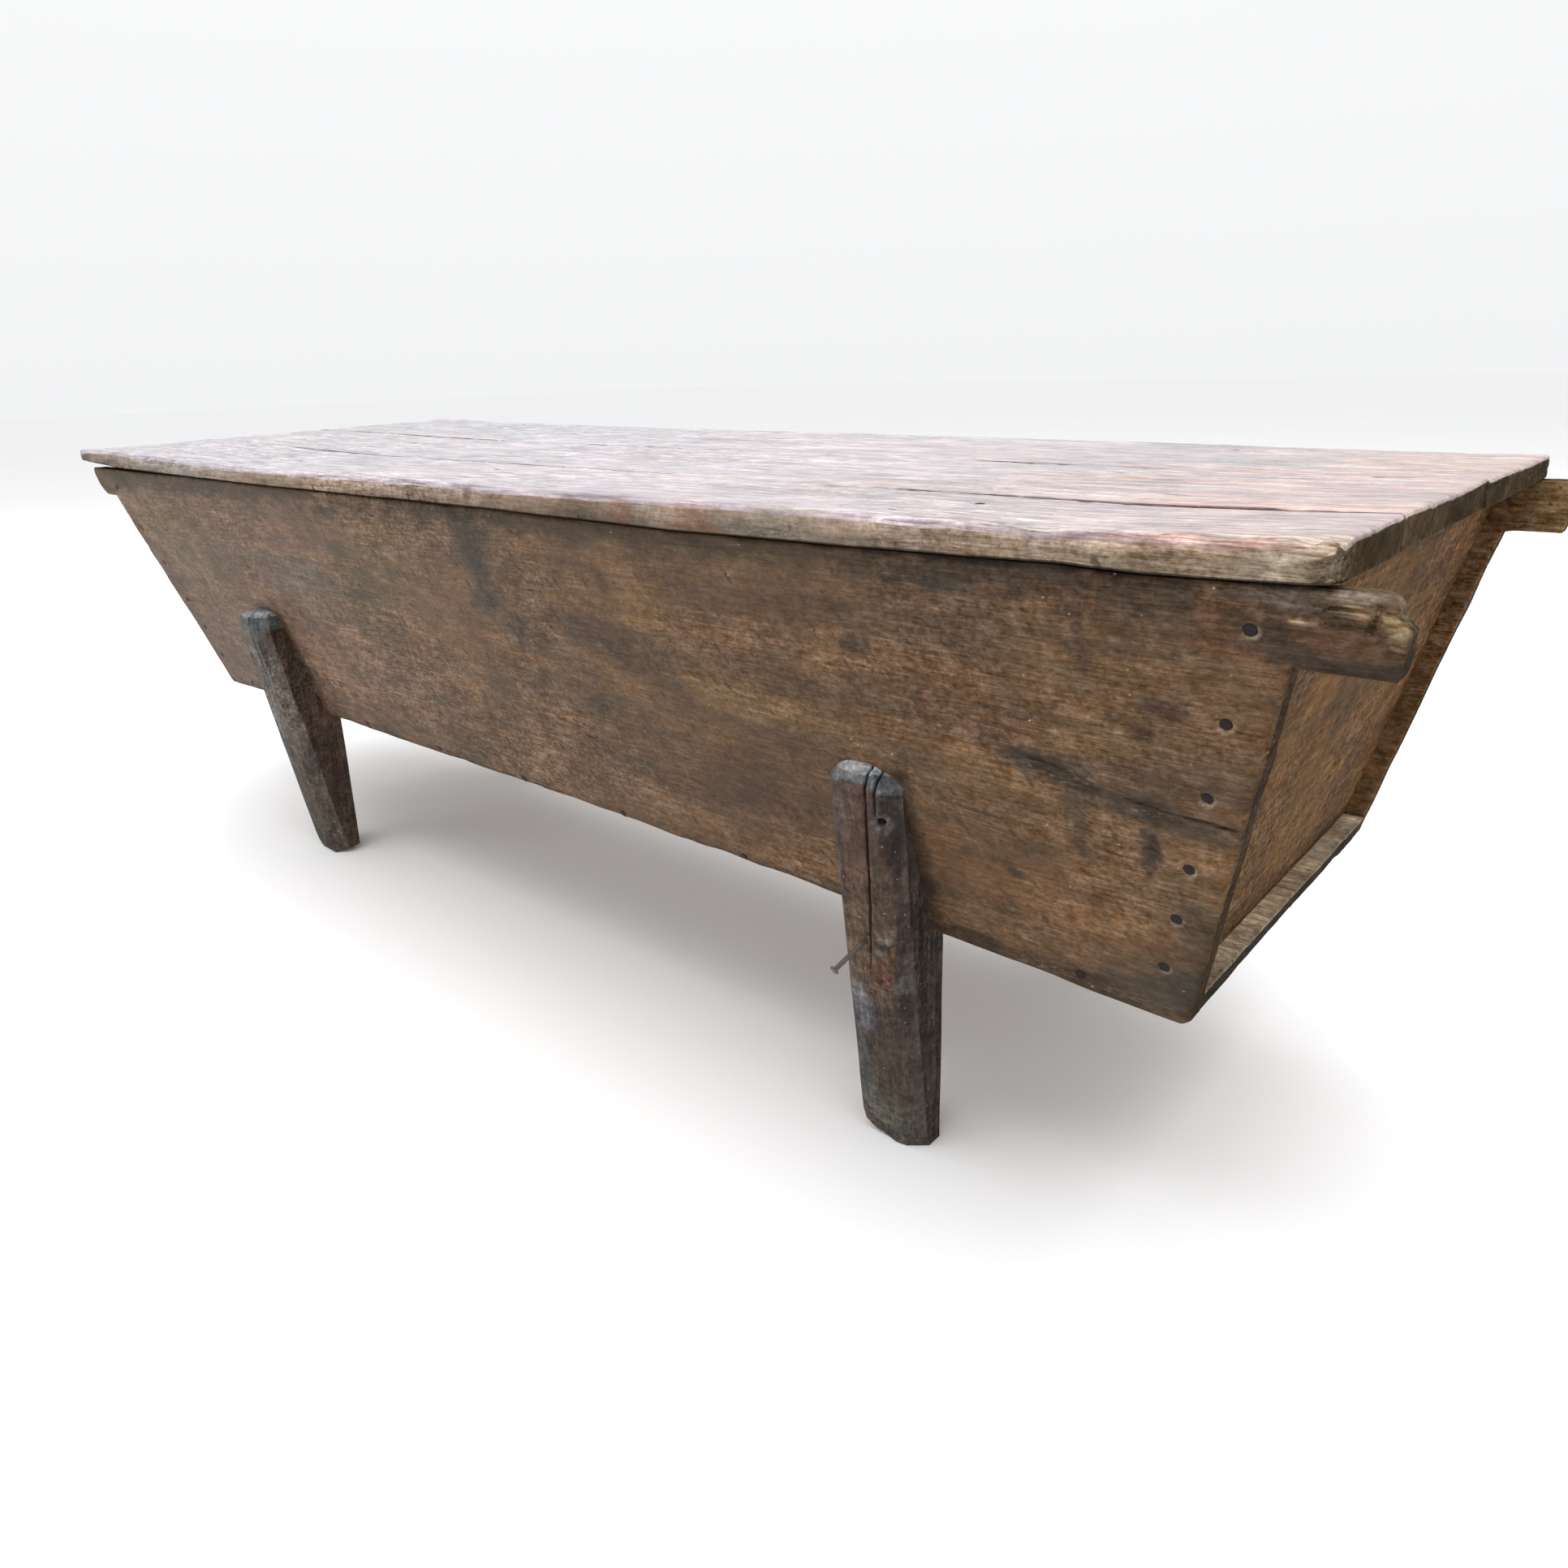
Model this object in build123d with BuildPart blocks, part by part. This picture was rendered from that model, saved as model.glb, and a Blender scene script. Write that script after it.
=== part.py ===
from build123d import *
from math import cos, radians, sin, tan
import os

# Old dough box: a kneading trough of wide planks on four short wedge legs, with a hinged lid.
# Millimetres. +X runs to the right along the trough, the front faces -Y, the floor is z = 0.
# Distances along x are from the middle of the trough, and heights are above the floor.

# ---- trough ---------------------------------------------------------------------------------
floor_clearance = 228.0      # floor to the underside of the trough
trough_height = 358.0        # underside of the trough to the edge that the lid lies on
bottom_width = 460.0         # over the two long boards, at their lower edge
bottom_length = 1644.0       # of the long boards, at their lower edge
side_splay = 17.0            # degrees that the long boards lean out
end_rake = 13.0              # degrees that the ends lean out
side_thickness = 22.0
end_thickness = 20.0
bottom_thickness = 21.0
bottom_seam = 1.0            # open joint between the two bottom planks
end_setback = 18.0           # end board's outer face, back from the ends of the long boards
end_board_drop = 1.0         # end board's upper edge under the lid
corner_radius = 12.0         # worn lower corners of the long boards

# ---- carrying ears at the tops of the long boards -------------------------------------------
ear_height = 49.0
right_ear_length = 53.0
left_ear_length = 43.0
ear_radius = 7.0
ear_root_radius = 6.0

# ---- legs -----------------------------------------------------------------------------------
leg_width = 68.0
right_leg_x = 558.0
left_leg_x = 524.0           # to the left of the middle
leg_rise = 166.0             # how far a leg climbs the long board
leg_seat = 20.0              # how far its shoulder reaches under the trough
foot_depth = 35.0
right_leg_splay = 7.3        # degrees that its front face leans out
left_leg_splay = 10.0        # degrees, for the left one
leg_chamfer = 9.0
cap_height = 14.0            # bevelled top end
cap_side = 16.0
cap_depth = 6.0

# ---- lid ------------------------------------------------------------------------------------
lid_length = 1900.0
lid_thickness = 24.0
lid_offset = -34.0           # lid's middle from the trough's middle
lid_front_overhang = 0.0
lid_back_inset = 0.5
front_plank_left = 203.0     # the front and back planks taper, so each has two widths
front_plank_right = 134.0
back_plank_left = 264.0
back_plank_right = 292.0
lid_seam = 2.0
lid_front_radius = 6.0       # worn front arris
lid_end_radius = 3.0

# ---- battens under the lid ------------------------------------------------------------------
batten_width = 72.0
batten_thickness = 22.0
batten_margin = 300.0        # from the lid's ends to the middles of the outer battens
batten_gap = 16.0            # between a batten's ends and the long boards
batten_chamfer = 6.0

# ---- forged nails ---------------------------------------------------------------------------
nail_shank = 4.0             # square
nail_length = 42.0
nail_head_radius = 4.5
nail_head_height = 1.4
nail_head_seat = 1.8         # depth of the round seat that a head is driven down into
corner_nail_count = 6
corner_nail_inset = 28.0     # from the raked end of the long board
corner_nail_low = 47.0       # lowest nail above the trough's underside
corner_nail_high = 29.0      # highest nail under its top
corner_nail_drift = (0.0, -7.0, -16.0, -10.0, -9.0, 0.0)
bottom_nail_count = 9
bottom_nail_margin = 90.0    # from the raked end of the long board
bottom_nail_height = 9.0     # above the trough's underside
bottom_nail_length = 32.0
end_nail_spread = 150.0      # of the nails up into an end board, from its middle
leg_nail_side = 16.0         # from the middle of the leg
leg_nail_high = 100.0        # above the trough's underside, driven from the inside
leg_nail_low = 45.0
batten_nail_length = 40.0
batten_nail_margin = 42.0    # from a plank's edge

# ---- wire nails left in the front right leg -------------------------------------------------
wire_radius = 2.2
wire_head_radius = 4.2
wire_head_height = 1.6
wire_depth = 30.0            # driven into the leg
wire_height = 224.0
bent_nail_side = -6.0        # from the middle of the leg
bent_nail_stub = 7.0         # straight length before the bend
bent_nail_reach = 30.0       # from the bend to the head
bent_nail_droop = 11.0       # how far the head hangs below the bend
bent_nail_swing = 7.0        # and how far it stands to the left of it
bend_radius = 9.0
old_hole_radius = 3.5        # left by a nail that is gone, above the wire nails
old_hole_depth = 10.0
old_hole_height = 351.0
proud_nail_side = 15.0
proud_nail_reach = 8.0

# ---- hinges ---------------------------------------------------------------------------------
hinge_margin = 350.0         # from the lid's ends to the middle of each hinge
hinge_length = 120.0
leaf_thickness = 2.5
frame_leaf_height = 62.0
lid_leaf_height = 20.0
leaf_radius = 8.0            # rounded lower corners of the frame leaf
leaf_relief = 1.2            # leaf clear of the other leaf's knuckles
knuckle_radius = 5.5
knuckle_standoff = 0.55      # knuckles clear of the back board
outer_knuckle = 36.0
knuckle_gap = 0.5
pin_radius = 2.5
pin_fit = 0.06               # radial clearance of the pin in its knuckles
pin_head_radius = 3.9
pin_head_height = 1.6
pin_play = 0.2               # between the pin's heads and the knuckles
tongue_gap = 0.3             # lid leaf above the back board
leaf_nail_shank = 3.0
leaf_nail_length = 18.0
leaf_nail_head_radius = 3.4
leaf_nail_head_height = 1.2
leaf_nail_margin = 14.0      # from the ends of a leaf
frame_nail_upper = 22.0      # below the top of the back board, along its slope
frame_nail_lower = 46.0

# ---- places worked out from the sizes above -------------------------------------------------
lean = tan(radians(side_splay))
rake = tan(radians(end_rake))
slope = cos(radians(side_splay))
dip = sin(radians(side_splay))
trough_top = floor_clearance + trough_height
bottom_top = floor_clearance + bottom_thickness
end_top = trough_top - end_board_drop
ear_underside = trough_top - ear_height
lid_top = trough_top + lid_thickness
leg_top = floor_clearance + leg_rise
bottom_half = bottom_width / 2
top_half = bottom_half + trough_height * lean
side_across = side_thickness / slope
end_across = end_thickness / cos(radians(end_rake))


def board_end(z):
    """Half length of a long board at height z."""
    return bottom_length / 2 + (z - floor_clearance) * rake


def outer_face(z):
    """How far a long board's outer face stands from the middle at height z."""
    return bottom_half + (z - floor_clearance) * lean


def leg_front(z, splay):
    """How far a leg's front face stands from the middle at height z."""
    return leg_back + foot_depth + z * tan(radians(splay))


right_ear_end = board_end(ear_underside) + right_ear_length
left_ear_end = board_end(ear_underside) + left_ear_length
lid_left = lid_offset - lid_length / 2
lid_right = lid_offset + lid_length / 2
lid_front = -(top_half + lid_front_overhang)
lid_back = top_half - lid_back_inset
leg_back = bottom_half - leg_seat
hinge_y = top_half + knuckle_radius + knuckle_standoff
middle_knuckle = hinge_length - 2 * (outer_knuckle + knuckle_gap)

# The middle of the trough stands off the origin, so that the whole object is centred on it:
# the lid is set to the left, and the hinges stand out at the back.
trough_x = -(min(lid_left, -left_ear_end) + max(lid_right, right_ear_end)) / 2
trough_y = -(lid_front + hinge_y + knuckle_radius) / 2
middle = Vector(trough_x, trough_y, 0)

front_view = Plane(origin=middle, x_dir=(1, 0, 0), z_dir=(0, -1, 0))
end_view = Plane(origin=middle, x_dir=(0, 1, 0), z_dir=(1, 0, 0))
top_view = Plane(origin=middle, x_dir=(1, 0, 0), z_dir=(0, 0, 1))
lid_face = top_view.offset(lid_top)
underside = Plane(origin=middle + (0, 0, floor_clearance), x_dir=(1, 0, 0), z_dir=(0, 0, -1))

# Faces that nails are driven through. +y runs up the boards and the leg, and down the leaves.
front_face = Plane(
    origin=middle + (0, -bottom_half, floor_clearance), x_dir=(1, 0, 0), z_dir=(0, -slope, -dip)
)
back_face = Plane(
    origin=middle + (0, bottom_half, floor_clearance), x_dir=(-1, 0, 0), z_dir=(0, slope, -dip)
)
inner_face = Plane(
    origin=middle + (0, side_across - bottom_half, floor_clearance), x_dir=(-1, 0, 0), z_dir=(0, slope, dip)
)
leg_face = Plane(
    origin=middle + (0, -leg_front(0, right_leg_splay), 0),
    x_dir=(1, 0, 0),
    z_dir=(0, -cos(radians(right_leg_splay)), -sin(radians(right_leg_splay))),
)
frame_leaf_face = Plane(
    origin=middle + (0, top_half, trough_top), x_dir=(1, 0, 0), z_dir=(0, slope, -dip)
).offset(leaf_thickness)
lid_leaf_face = Plane(
    origin=middle + (0, lid_back, lid_top), x_dir=(1, 0, 0), z_dir=(0, 1, 0)
).offset(leaf_thickness)

# Nails run back from the face that they are driven through, and heads stand on it.
from_face = (Align.CENTER, Align.CENTER, Align.MAX)
on_face = (Align.CENTER, Align.CENTER, Align.MIN)

os.makedirs("parts", exist_ok=True)


def save(piece, name):
    piece.part.label = name
    export_step(piece.part, f"parts/{name}.step")


def profile(plane, *corners):
    """A closed outline with straight sides, drawn on a plane."""
    with BuildSketch(plane) as outline:
        with BuildLine():
            Polyline(*corners, close=True)
        make_face()
    return outline.sketch


def drive(face, places, length=nail_length):
    """Square holes for forged nails driven through a face, with round seats for their heads."""
    with Locations(face):
        with Locations(*places):
            Box(nail_shank, nail_shank, length + nail_head_seat, align=from_face, mode=Mode.SUBTRACT)
            Cylinder(nail_head_radius, nail_head_seat, align=from_face, mode=Mode.SUBTRACT)


def nails(face, places, length=nail_length):
    """Forged nails driven through a face, their heads down in their seats."""
    with Locations(face.offset(-nail_head_seat)):
        with Locations(*places):
            Box(nail_shank, nail_shank, length, align=from_face)
            Cylinder(nail_head_radius, nail_head_height, align=on_face)


def drive_leaf(face, places):
    """Square holes for the small nails of the hinge leaves."""
    with Locations(face):
        with Locations(*places):
            Box(leaf_nail_shank, leaf_nail_shank, leaf_nail_length, align=from_face, mode=Mode.SUBTRACT)


def leaf_nails(face, places):
    """Small nails whose heads lie on a hinge leaf."""
    with Locations(face):
        with Locations(*places):
            Box(leaf_nail_shank, leaf_nail_shank, leaf_nail_length, align=from_face)
            Cylinder(leaf_nail_head_radius, leaf_nail_head_height, align=on_face)


# ---- where the nails go ---------------------------------------------------------------------
def under_a_leg(x):
    reach = leg_width / 2 + nail_head_radius
    return abs(x - right_leg_x) <= reach or abs(x + left_leg_x) <= reach


corner_pitch = (trough_height - corner_nail_low - corner_nail_high) / (corner_nail_count - 1)
corner_heights = [
    corner_nail_low + i * corner_pitch + corner_nail_drift[i % len(corner_nail_drift)]
    for i in range(corner_nail_count)
]
corner_places = [
    (side * (board_end(floor_clearance + height) - corner_nail_inset), height / slope)
    for side in (-1, 1)
    for height in corner_heights
]
bottom_nail_end = board_end(floor_clearance + bottom_nail_height) - bottom_nail_margin
bottom_nail_pitch = 2 * bottom_nail_end / (bottom_nail_count - 1)
bottom_places = [
    (x, bottom_nail_height / slope)
    for x in (i * bottom_nail_pitch - bottom_nail_end for i in range(bottom_nail_count))
    if not under_a_leg(x)
]
leg_places = [
    (side * leg_nail_side - leg_x, height / slope)
    for leg_x in (-left_leg_x, right_leg_x)
    for side, height in ((1, leg_nail_high), (-1, leg_nail_low))
]
wire_places = [
    (right_leg_x + side, wire_height / cos(radians(right_leg_splay)))
    for side in (bent_nail_side, proud_nail_side)
]
old_hole_place = (right_leg_x + proud_nail_side, old_hole_height / cos(radians(right_leg_splay)))
end_nail_x = board_end(bottom_top) - end_setback - end_across / 2
end_places = [(side * end_nail_x, y) for side in (-1, 1) for y in (-end_nail_spread, end_nail_spread)]
hinge_centres = (lid_left + hinge_margin, lid_right - hinge_margin)
leaf_nail_end = hinge_length / 2 - leaf_nail_margin
leaf_steps = (-leaf_nail_end, 0, leaf_nail_end)
lid_leaf_places = [(centre + step, lid_thickness / 2) for centre in hinge_centres for step in leaf_steps]
frame_leaf_places = [
    (centre + step, row)
    for centre in hinge_centres
    for row, steps in ((frame_nail_upper, leaf_steps), (frame_nail_lower, (-leaf_nail_end, leaf_nail_end)))
    for step in steps
]


def across_lid(left, right, x):
    """Interpolates a width from the left end of the lid to the right end."""
    return left + (right - left) * (x - lid_left) / lid_length


batten_centres = (lid_left + batten_margin, lid_offset, lid_right - batten_margin)
batten_places = []
for batten_x in batten_centres:
    front_seam = lid_front + across_lid(front_plank_left, front_plank_right, batten_x)
    back_seam = lid_back - across_lid(back_plank_left, back_plank_right, batten_x)
    for near, far in ((lid_front, front_seam), (front_seam, back_seam), (back_seam, lid_back)):
        batten_places.append((batten_x - batten_width / 4, near + batten_nail_margin))
        batten_places.append((batten_x + batten_width / 4, far - batten_nail_margin))

# ---- long boards ----------------------------------------------------------------------------
with BuildPart() as front_board:
    extrude(
        profile(
            end_view,
            (-bottom_half, floor_clearance),
            (-top_half, trough_top),
            (-top_half + side_across, trough_top),
            (-bottom_half + side_across, floor_clearance),
        ),
        amount=right_ear_end + left_ear_end,
        both=True,
    )
    with BuildSketch(front_view) as board_outline:
        with BuildLine():
            Polyline(
                (board_end(floor_clearance), floor_clearance),
                (board_end(ear_underside), ear_underside),
                (right_ear_end, ear_underside),
                (right_ear_end, trough_top),
                (-left_ear_end, trough_top),
                (-left_ear_end, ear_underside),
                (-board_end(ear_underside), ear_underside),
                (-board_end(floor_clearance), floor_clearance),
                close=True,
            )
        make_face()
        ear_line = board_outline.vertices().group_by(Axis.Y)[1].sort_by(Axis.X)
        fillet(ear_line[1:3], ear_root_radius)
        fillet((ear_line[0], ear_line[3]), ear_radius)
        fillet(board_outline.vertices().group_by(Axis.Y)[0], corner_radius)
    extrude(amount=2 * top_half, both=True, mode=Mode.INTERSECT)
    drive(front_face, corner_places)
    drive(front_face, bottom_places, length=bottom_nail_length)
    drive(inner_face, leg_places)
save(front_board, "front_board")

with BuildPart() as back_board:
    mirror(front_board.part, about=front_view)
    drive_leaf(frame_leaf_face, frame_leaf_places)
save(back_board, "back_board")

# ---- bottom planks and end boards, let in between the long boards ---------------------------
with BuildPart() as bottom_blank:
    extrude(
        profile(
            end_view,
            (-bottom_half + side_across, floor_clearance),
            (bottom_half - side_across, floor_clearance),
            (outer_face(bottom_top) - side_across, bottom_top),
            (-outer_face(bottom_top) + side_across, bottom_top),
        ),
        amount=bottom_length,
        both=True,
    )
    extrude(
        profile(
            front_view,
            (-board_end(floor_clearance), floor_clearance),
            (board_end(floor_clearance), floor_clearance),
            (board_end(bottom_top), bottom_top),
            (-board_end(bottom_top), bottom_top),
        ),
        amount=bottom_width,
        both=True,
        mode=Mode.INTERSECT,
    )
    drive(front_face, bottom_places, length=bottom_nail_length)
    drive(underside, end_places)
    with Locations(underside):
        Box(2 * bottom_length, bottom_seam, 4 * bottom_thickness, mode=Mode.SUBTRACT)

with BuildPart() as front_bottom_plank:
    add(bottom_blank.solids().sort_by(Axis.Y)[0])
save(front_bottom_plank, "front_bottom_plank")

with BuildPart() as back_bottom_plank:
    mirror(front_bottom_plank.part, about=front_view)
save(back_bottom_plank, "back_bottom_plank")

with BuildPart() as right_end_board:
    extrude(
        profile(
            front_view,
            (board_end(bottom_top) - end_setback, bottom_top),
            (board_end(end_top) - end_setback, end_top),
            (board_end(end_top) - end_setback - end_across, end_top),
            (board_end(bottom_top) - end_setback - end_across, bottom_top),
        ),
        amount=2 * top_half,
        both=True,
    )
    extrude(
        profile(
            end_view,
            (-bottom_half + side_across, floor_clearance),
            (bottom_half - side_across, floor_clearance),
            (top_half - side_across, trough_top),
            (-top_half + side_across, trough_top),
        ),
        amount=bottom_length,
        both=True,
        mode=Mode.INTERSECT,
    )
    drive(front_face, corner_places)
    drive(back_face, corner_places)
    drive(underside, end_places)
save(right_end_board, "right_end_board")

with BuildPart() as left_end_board:
    mirror(right_end_board.part, about=end_view)
save(left_end_board, "left_end_board")


# ---- legs -----------------------------------------------------------------------------------
def wedge_leg(leg_x, splay):
    """A front leg: its upper part lies on the long board, its shoulder is under the trough."""
    cap_foot = leg_top - cap_height
    cap_front = leg_front(cap_foot, splay)
    with BuildPart() as leg:
        extrude(
            profile(
                end_view.offset(leg_x),
                (-leg_back, 0),
                (-leg_front(0, splay), 0),
                (-cap_front, cap_foot),
                (-cap_front + cap_depth, leg_top),
                (-outer_face(leg_top), leg_top),
                (-bottom_half, floor_clearance),
                (-leg_back, floor_clearance),
            ),
            amount=leg_width / 2,
            both=True,
        )
        front = leg.faces().filter_by(lambda face: face.normal_at().Y < -0.9).sort_by(SortBy.AREA)[-1]
        chamfer(front.edges().group_by(SortBy.LENGTH)[-1], leg_chamfer)
        extrude(
            profile(
                front_view,
                (leg_x - leg_width / 2, 0),
                (leg_x + leg_width / 2, 0),
                (leg_x + leg_width / 2, cap_foot),
                (leg_x + leg_width / 2 - cap_side, leg_top),
                (leg_x - leg_width / 2 + cap_side, leg_top),
                (leg_x - leg_width / 2, cap_foot),
            ),
            amount=2 * top_half,
            both=True,
            mode=Mode.INTERSECT,
        )
        drive(inner_face, leg_places)
    return leg


with BuildPart() as front_left_leg:
    add(wedge_leg(-left_leg_x, left_leg_splay).part)
save(front_left_leg, "front_left_leg")

with BuildPart() as front_right_leg:
    add(wedge_leg(right_leg_x, right_leg_splay).part)
    with Locations(leg_face):
        with Locations(*wire_places):
            Hole(wire_radius, wire_depth)
        with Locations(old_hole_place):
            Hole(old_hole_radius, old_hole_depth)
save(front_right_leg, "front_right_leg")

with BuildPart() as back_left_leg:
    mirror(wedge_leg(-left_leg_x, left_leg_splay).part, about=front_view)
save(back_left_leg, "back_left_leg")

with BuildPart() as back_right_leg:
    mirror(wedge_leg(right_leg_x, right_leg_splay).part, about=front_view)
save(back_right_leg, "back_right_leg")

# ---- nails of the trough --------------------------------------------------------------------
with BuildPart() as front_corner_nails:
    nails(front_face, corner_places)
save(front_corner_nails, "front_corner_nails")

with BuildPart() as back_corner_nails:
    nails(back_face, corner_places)
save(back_corner_nails, "back_corner_nails")

with BuildPart() as front_bottom_nails:
    nails(front_face, bottom_places, length=bottom_nail_length)
save(front_bottom_nails, "front_bottom_nails")

with BuildPart() as back_bottom_nails:
    mirror(front_bottom_nails.part, about=front_view)
save(back_bottom_nails, "back_bottom_nails")

with BuildPart() as end_board_nails:
    nails(underside, end_places)
save(end_board_nails, "end_board_nails")

with BuildPart() as front_leg_nails:
    nails(inner_face, leg_places)
save(front_leg_nails, "front_leg_nails")

with BuildPart() as back_leg_nails:
    mirror(front_leg_nails.part, about=front_view)
save(back_leg_nails, "back_leg_nails")

# Two round wire nails in the front right leg: one bent over, one not quite home.
bent_plane = Plane(leg_face.location * Location(wire_places[0]))
with BuildPart() as bent_nail:
    with BuildLine(bent_plane) as bent_wire:
        FilletPolyline(
            (0, 0, -wire_depth),
            (0, 0, bent_nail_stub),
            (-bent_nail_swing, -bent_nail_droop, bent_nail_stub + bent_nail_reach),
            radius=bend_radius,
        )
    with BuildSketch(Plane(origin=bent_wire.line @ 0, z_dir=bent_wire.line % 0)):
        Circle(wire_radius)
    sweep()
    with Locations(Plane(origin=bent_wire.line @ 1, z_dir=bent_wire.line % 1)):
        Cylinder(wire_head_radius, wire_head_height, align=on_face)
save(bent_nail, "bent_nail")

with BuildPart() as proud_nail:
    with Locations(leg_face):
        with Locations(wire_places[1]):
            Cylinder(wire_radius, wire_depth, align=from_face)
            Cylinder(wire_radius, proud_nail_reach, align=on_face)
            with Locations((0, 0, proud_nail_reach)):
                Cylinder(wire_head_radius, wire_head_height, align=on_face)
save(proud_nail, "proud_nail")

# ---- lid ------------------------------------------------------------------------------------
front_seam_left = lid_front + front_plank_left
front_seam_right = lid_front + front_plank_right
back_seam_left = lid_back - back_plank_left
back_seam_right = lid_back - back_plank_right


def lid_plank(front_left, front_right, back_right, back_left):
    """A lid plank with its ends' arrises worn, from the y of its four corners."""
    with BuildPart() as plank:
        extrude(
            profile(
                top_view.offset(trough_top),
                (lid_left, front_left),
                (lid_right, front_right),
                (lid_right, back_right),
                (lid_left, back_left),
            ),
            amount=lid_thickness,
        )
        ends = plank.faces().sort_by(Axis.X)
        fillet((ends[0].edges() + ends[-1].edges()).group_by(Axis.Z)[-1], lid_end_radius)
        drive(lid_face, batten_places, length=batten_nail_length)
    return plank


with BuildPart() as lid_front_plank:
    add(lid_plank(lid_front, lid_front, front_seam_right, front_seam_left).part)
    front_edges = lid_front_plank.edges().filter_by(Axis.X).group_by(Axis.Y)[0]
    fillet(front_edges.sort_by(Axis.Z)[-1], lid_front_radius)
save(lid_front_plank, "lid_front_plank")

with BuildPart() as lid_middle_plank:
    add(
        lid_plank(
            front_seam_left + lid_seam,
            front_seam_right + lid_seam,
            back_seam_right - lid_seam,
            back_seam_left - lid_seam,
        ).part
    )
save(lid_middle_plank, "lid_middle_plank")

with BuildPart() as lid_back_plank:
    add(lid_plank(back_seam_left, back_seam_right, lid_back, lid_back).part)
    drive_leaf(lid_leaf_face, lid_leaf_places)
save(lid_back_plank, "lid_back_plank")

batten_half = outer_face(trough_top - batten_thickness) - side_across - batten_gap
for batten_x, name in zip(batten_centres, ("left_batten", "middle_batten", "right_batten")):
    with BuildPart() as batten:
        with BuildSketch(top_view.offset(trough_top)):
            with Locations((batten_x, 0)):
                Rectangle(batten_width, 2 * batten_half)
        extrude(amount=-batten_thickness)
        chamfer(batten.faces().sort_by(Axis.Z)[0].edges(), batten_chamfer)
        drive(lid_face, batten_places, length=batten_nail_length)
    save(batten, name)

with BuildPart() as batten_nails:
    nails(lid_face, batten_places, length=batten_nail_length)
save(batten_nails, "batten_nails")

# ---- hinges ---------------------------------------------------------------------------------
leaf_clear = knuckle_radius + leaf_relief
leaf_foot = trough_top - frame_leaf_height * slope
outer_step = (hinge_length - outer_knuckle) / 2
pin_head_at = (hinge_length + pin_head_height) / 2 + pin_play

for centre, side in zip(hinge_centres, ("left", "right")):
    hinge_line = Plane(
        origin=middle + (centre, hinge_y, trough_top), x_dir=(0, 1, 0), z_dir=(1, 0, 0)
    )
    with BuildPart() as frame_leaf:
        extrude(
            profile(
                end_view.offset(centre),
                (top_half, trough_top),
                (outer_face(leaf_foot), leaf_foot),
                (outer_face(leaf_foot) + leaf_thickness * slope, leaf_foot - leaf_thickness * dip),
                (top_half + leaf_thickness * slope, trough_top - leaf_thickness * dip),
            ),
            amount=hinge_length / 2,
            both=True,
        )
        corners = frame_leaf.edges().filter_by(Axis((0, 0, 0), (0, slope, -dip))).sort_by(Axis.Z)
        fillet(corners[:2], leaf_radius)
        with Locations(hinge_line):
            Box(4 * leaf_clear, 2 * leaf_clear, middle_knuckle + 2 * knuckle_gap, mode=Mode.SUBTRACT)
            with Locations((0, 0, -outer_step), (0, 0, outer_step)):
                Cylinder(knuckle_radius, outer_knuckle)
            Cylinder(pin_radius + pin_fit, 2 * hinge_length, mode=Mode.SUBTRACT)
        drive_leaf(frame_leaf_face, frame_leaf_places)
    save(frame_leaf, f"{side}_hinge_frame_leaf")

    with BuildPart() as lid_leaf:
        leaf_base = Plane(origin=middle + (centre, lid_back, trough_top), x_dir=(1, 0, 0), z_dir=(0, 0, 1))
        with Locations(leaf_base.offset(leaf_clear)):
            Box(
                hinge_length, leaf_thickness, lid_leaf_height - leaf_clear,
                align=(Align.CENTER, Align.MIN, Align.MIN),
            )
        with Locations(leaf_base.offset(tongue_gap)):
            Box(
                middle_knuckle, leaf_thickness, lid_leaf_height - tongue_gap,
                align=(Align.CENTER, Align.MIN, Align.MIN),
            )
        with Locations(hinge_line):
            Cylinder(knuckle_radius, middle_knuckle)
            Cylinder(pin_radius + pin_fit, 2 * hinge_length, mode=Mode.SUBTRACT)
        drive_leaf(lid_leaf_face, lid_leaf_places)
    save(lid_leaf, f"{side}_hinge_lid_leaf")

    with BuildPart() as pin:
        with Locations(hinge_line):
            Cylinder(pin_radius, hinge_length + 2 * pin_play)
            with Locations((0, 0, pin_head_at), (0, 0, -pin_head_at)):
                Cylinder(pin_head_radius, pin_head_height)
    save(pin, f"{side}_hinge_pin")

with BuildPart() as hinge_frame_nails:
    leaf_nails(frame_leaf_face, frame_leaf_places)
save(hinge_frame_nails, "hinge_frame_nails")

with BuildPart() as hinge_lid_nails:
    leaf_nails(lid_leaf_face, lid_leaf_places)
save(hinge_lid_nails, "hinge_lid_nails")
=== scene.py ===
import math

import bpy
import numpy as np
from mathutils import Matrix, Vector, kdtree


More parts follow.
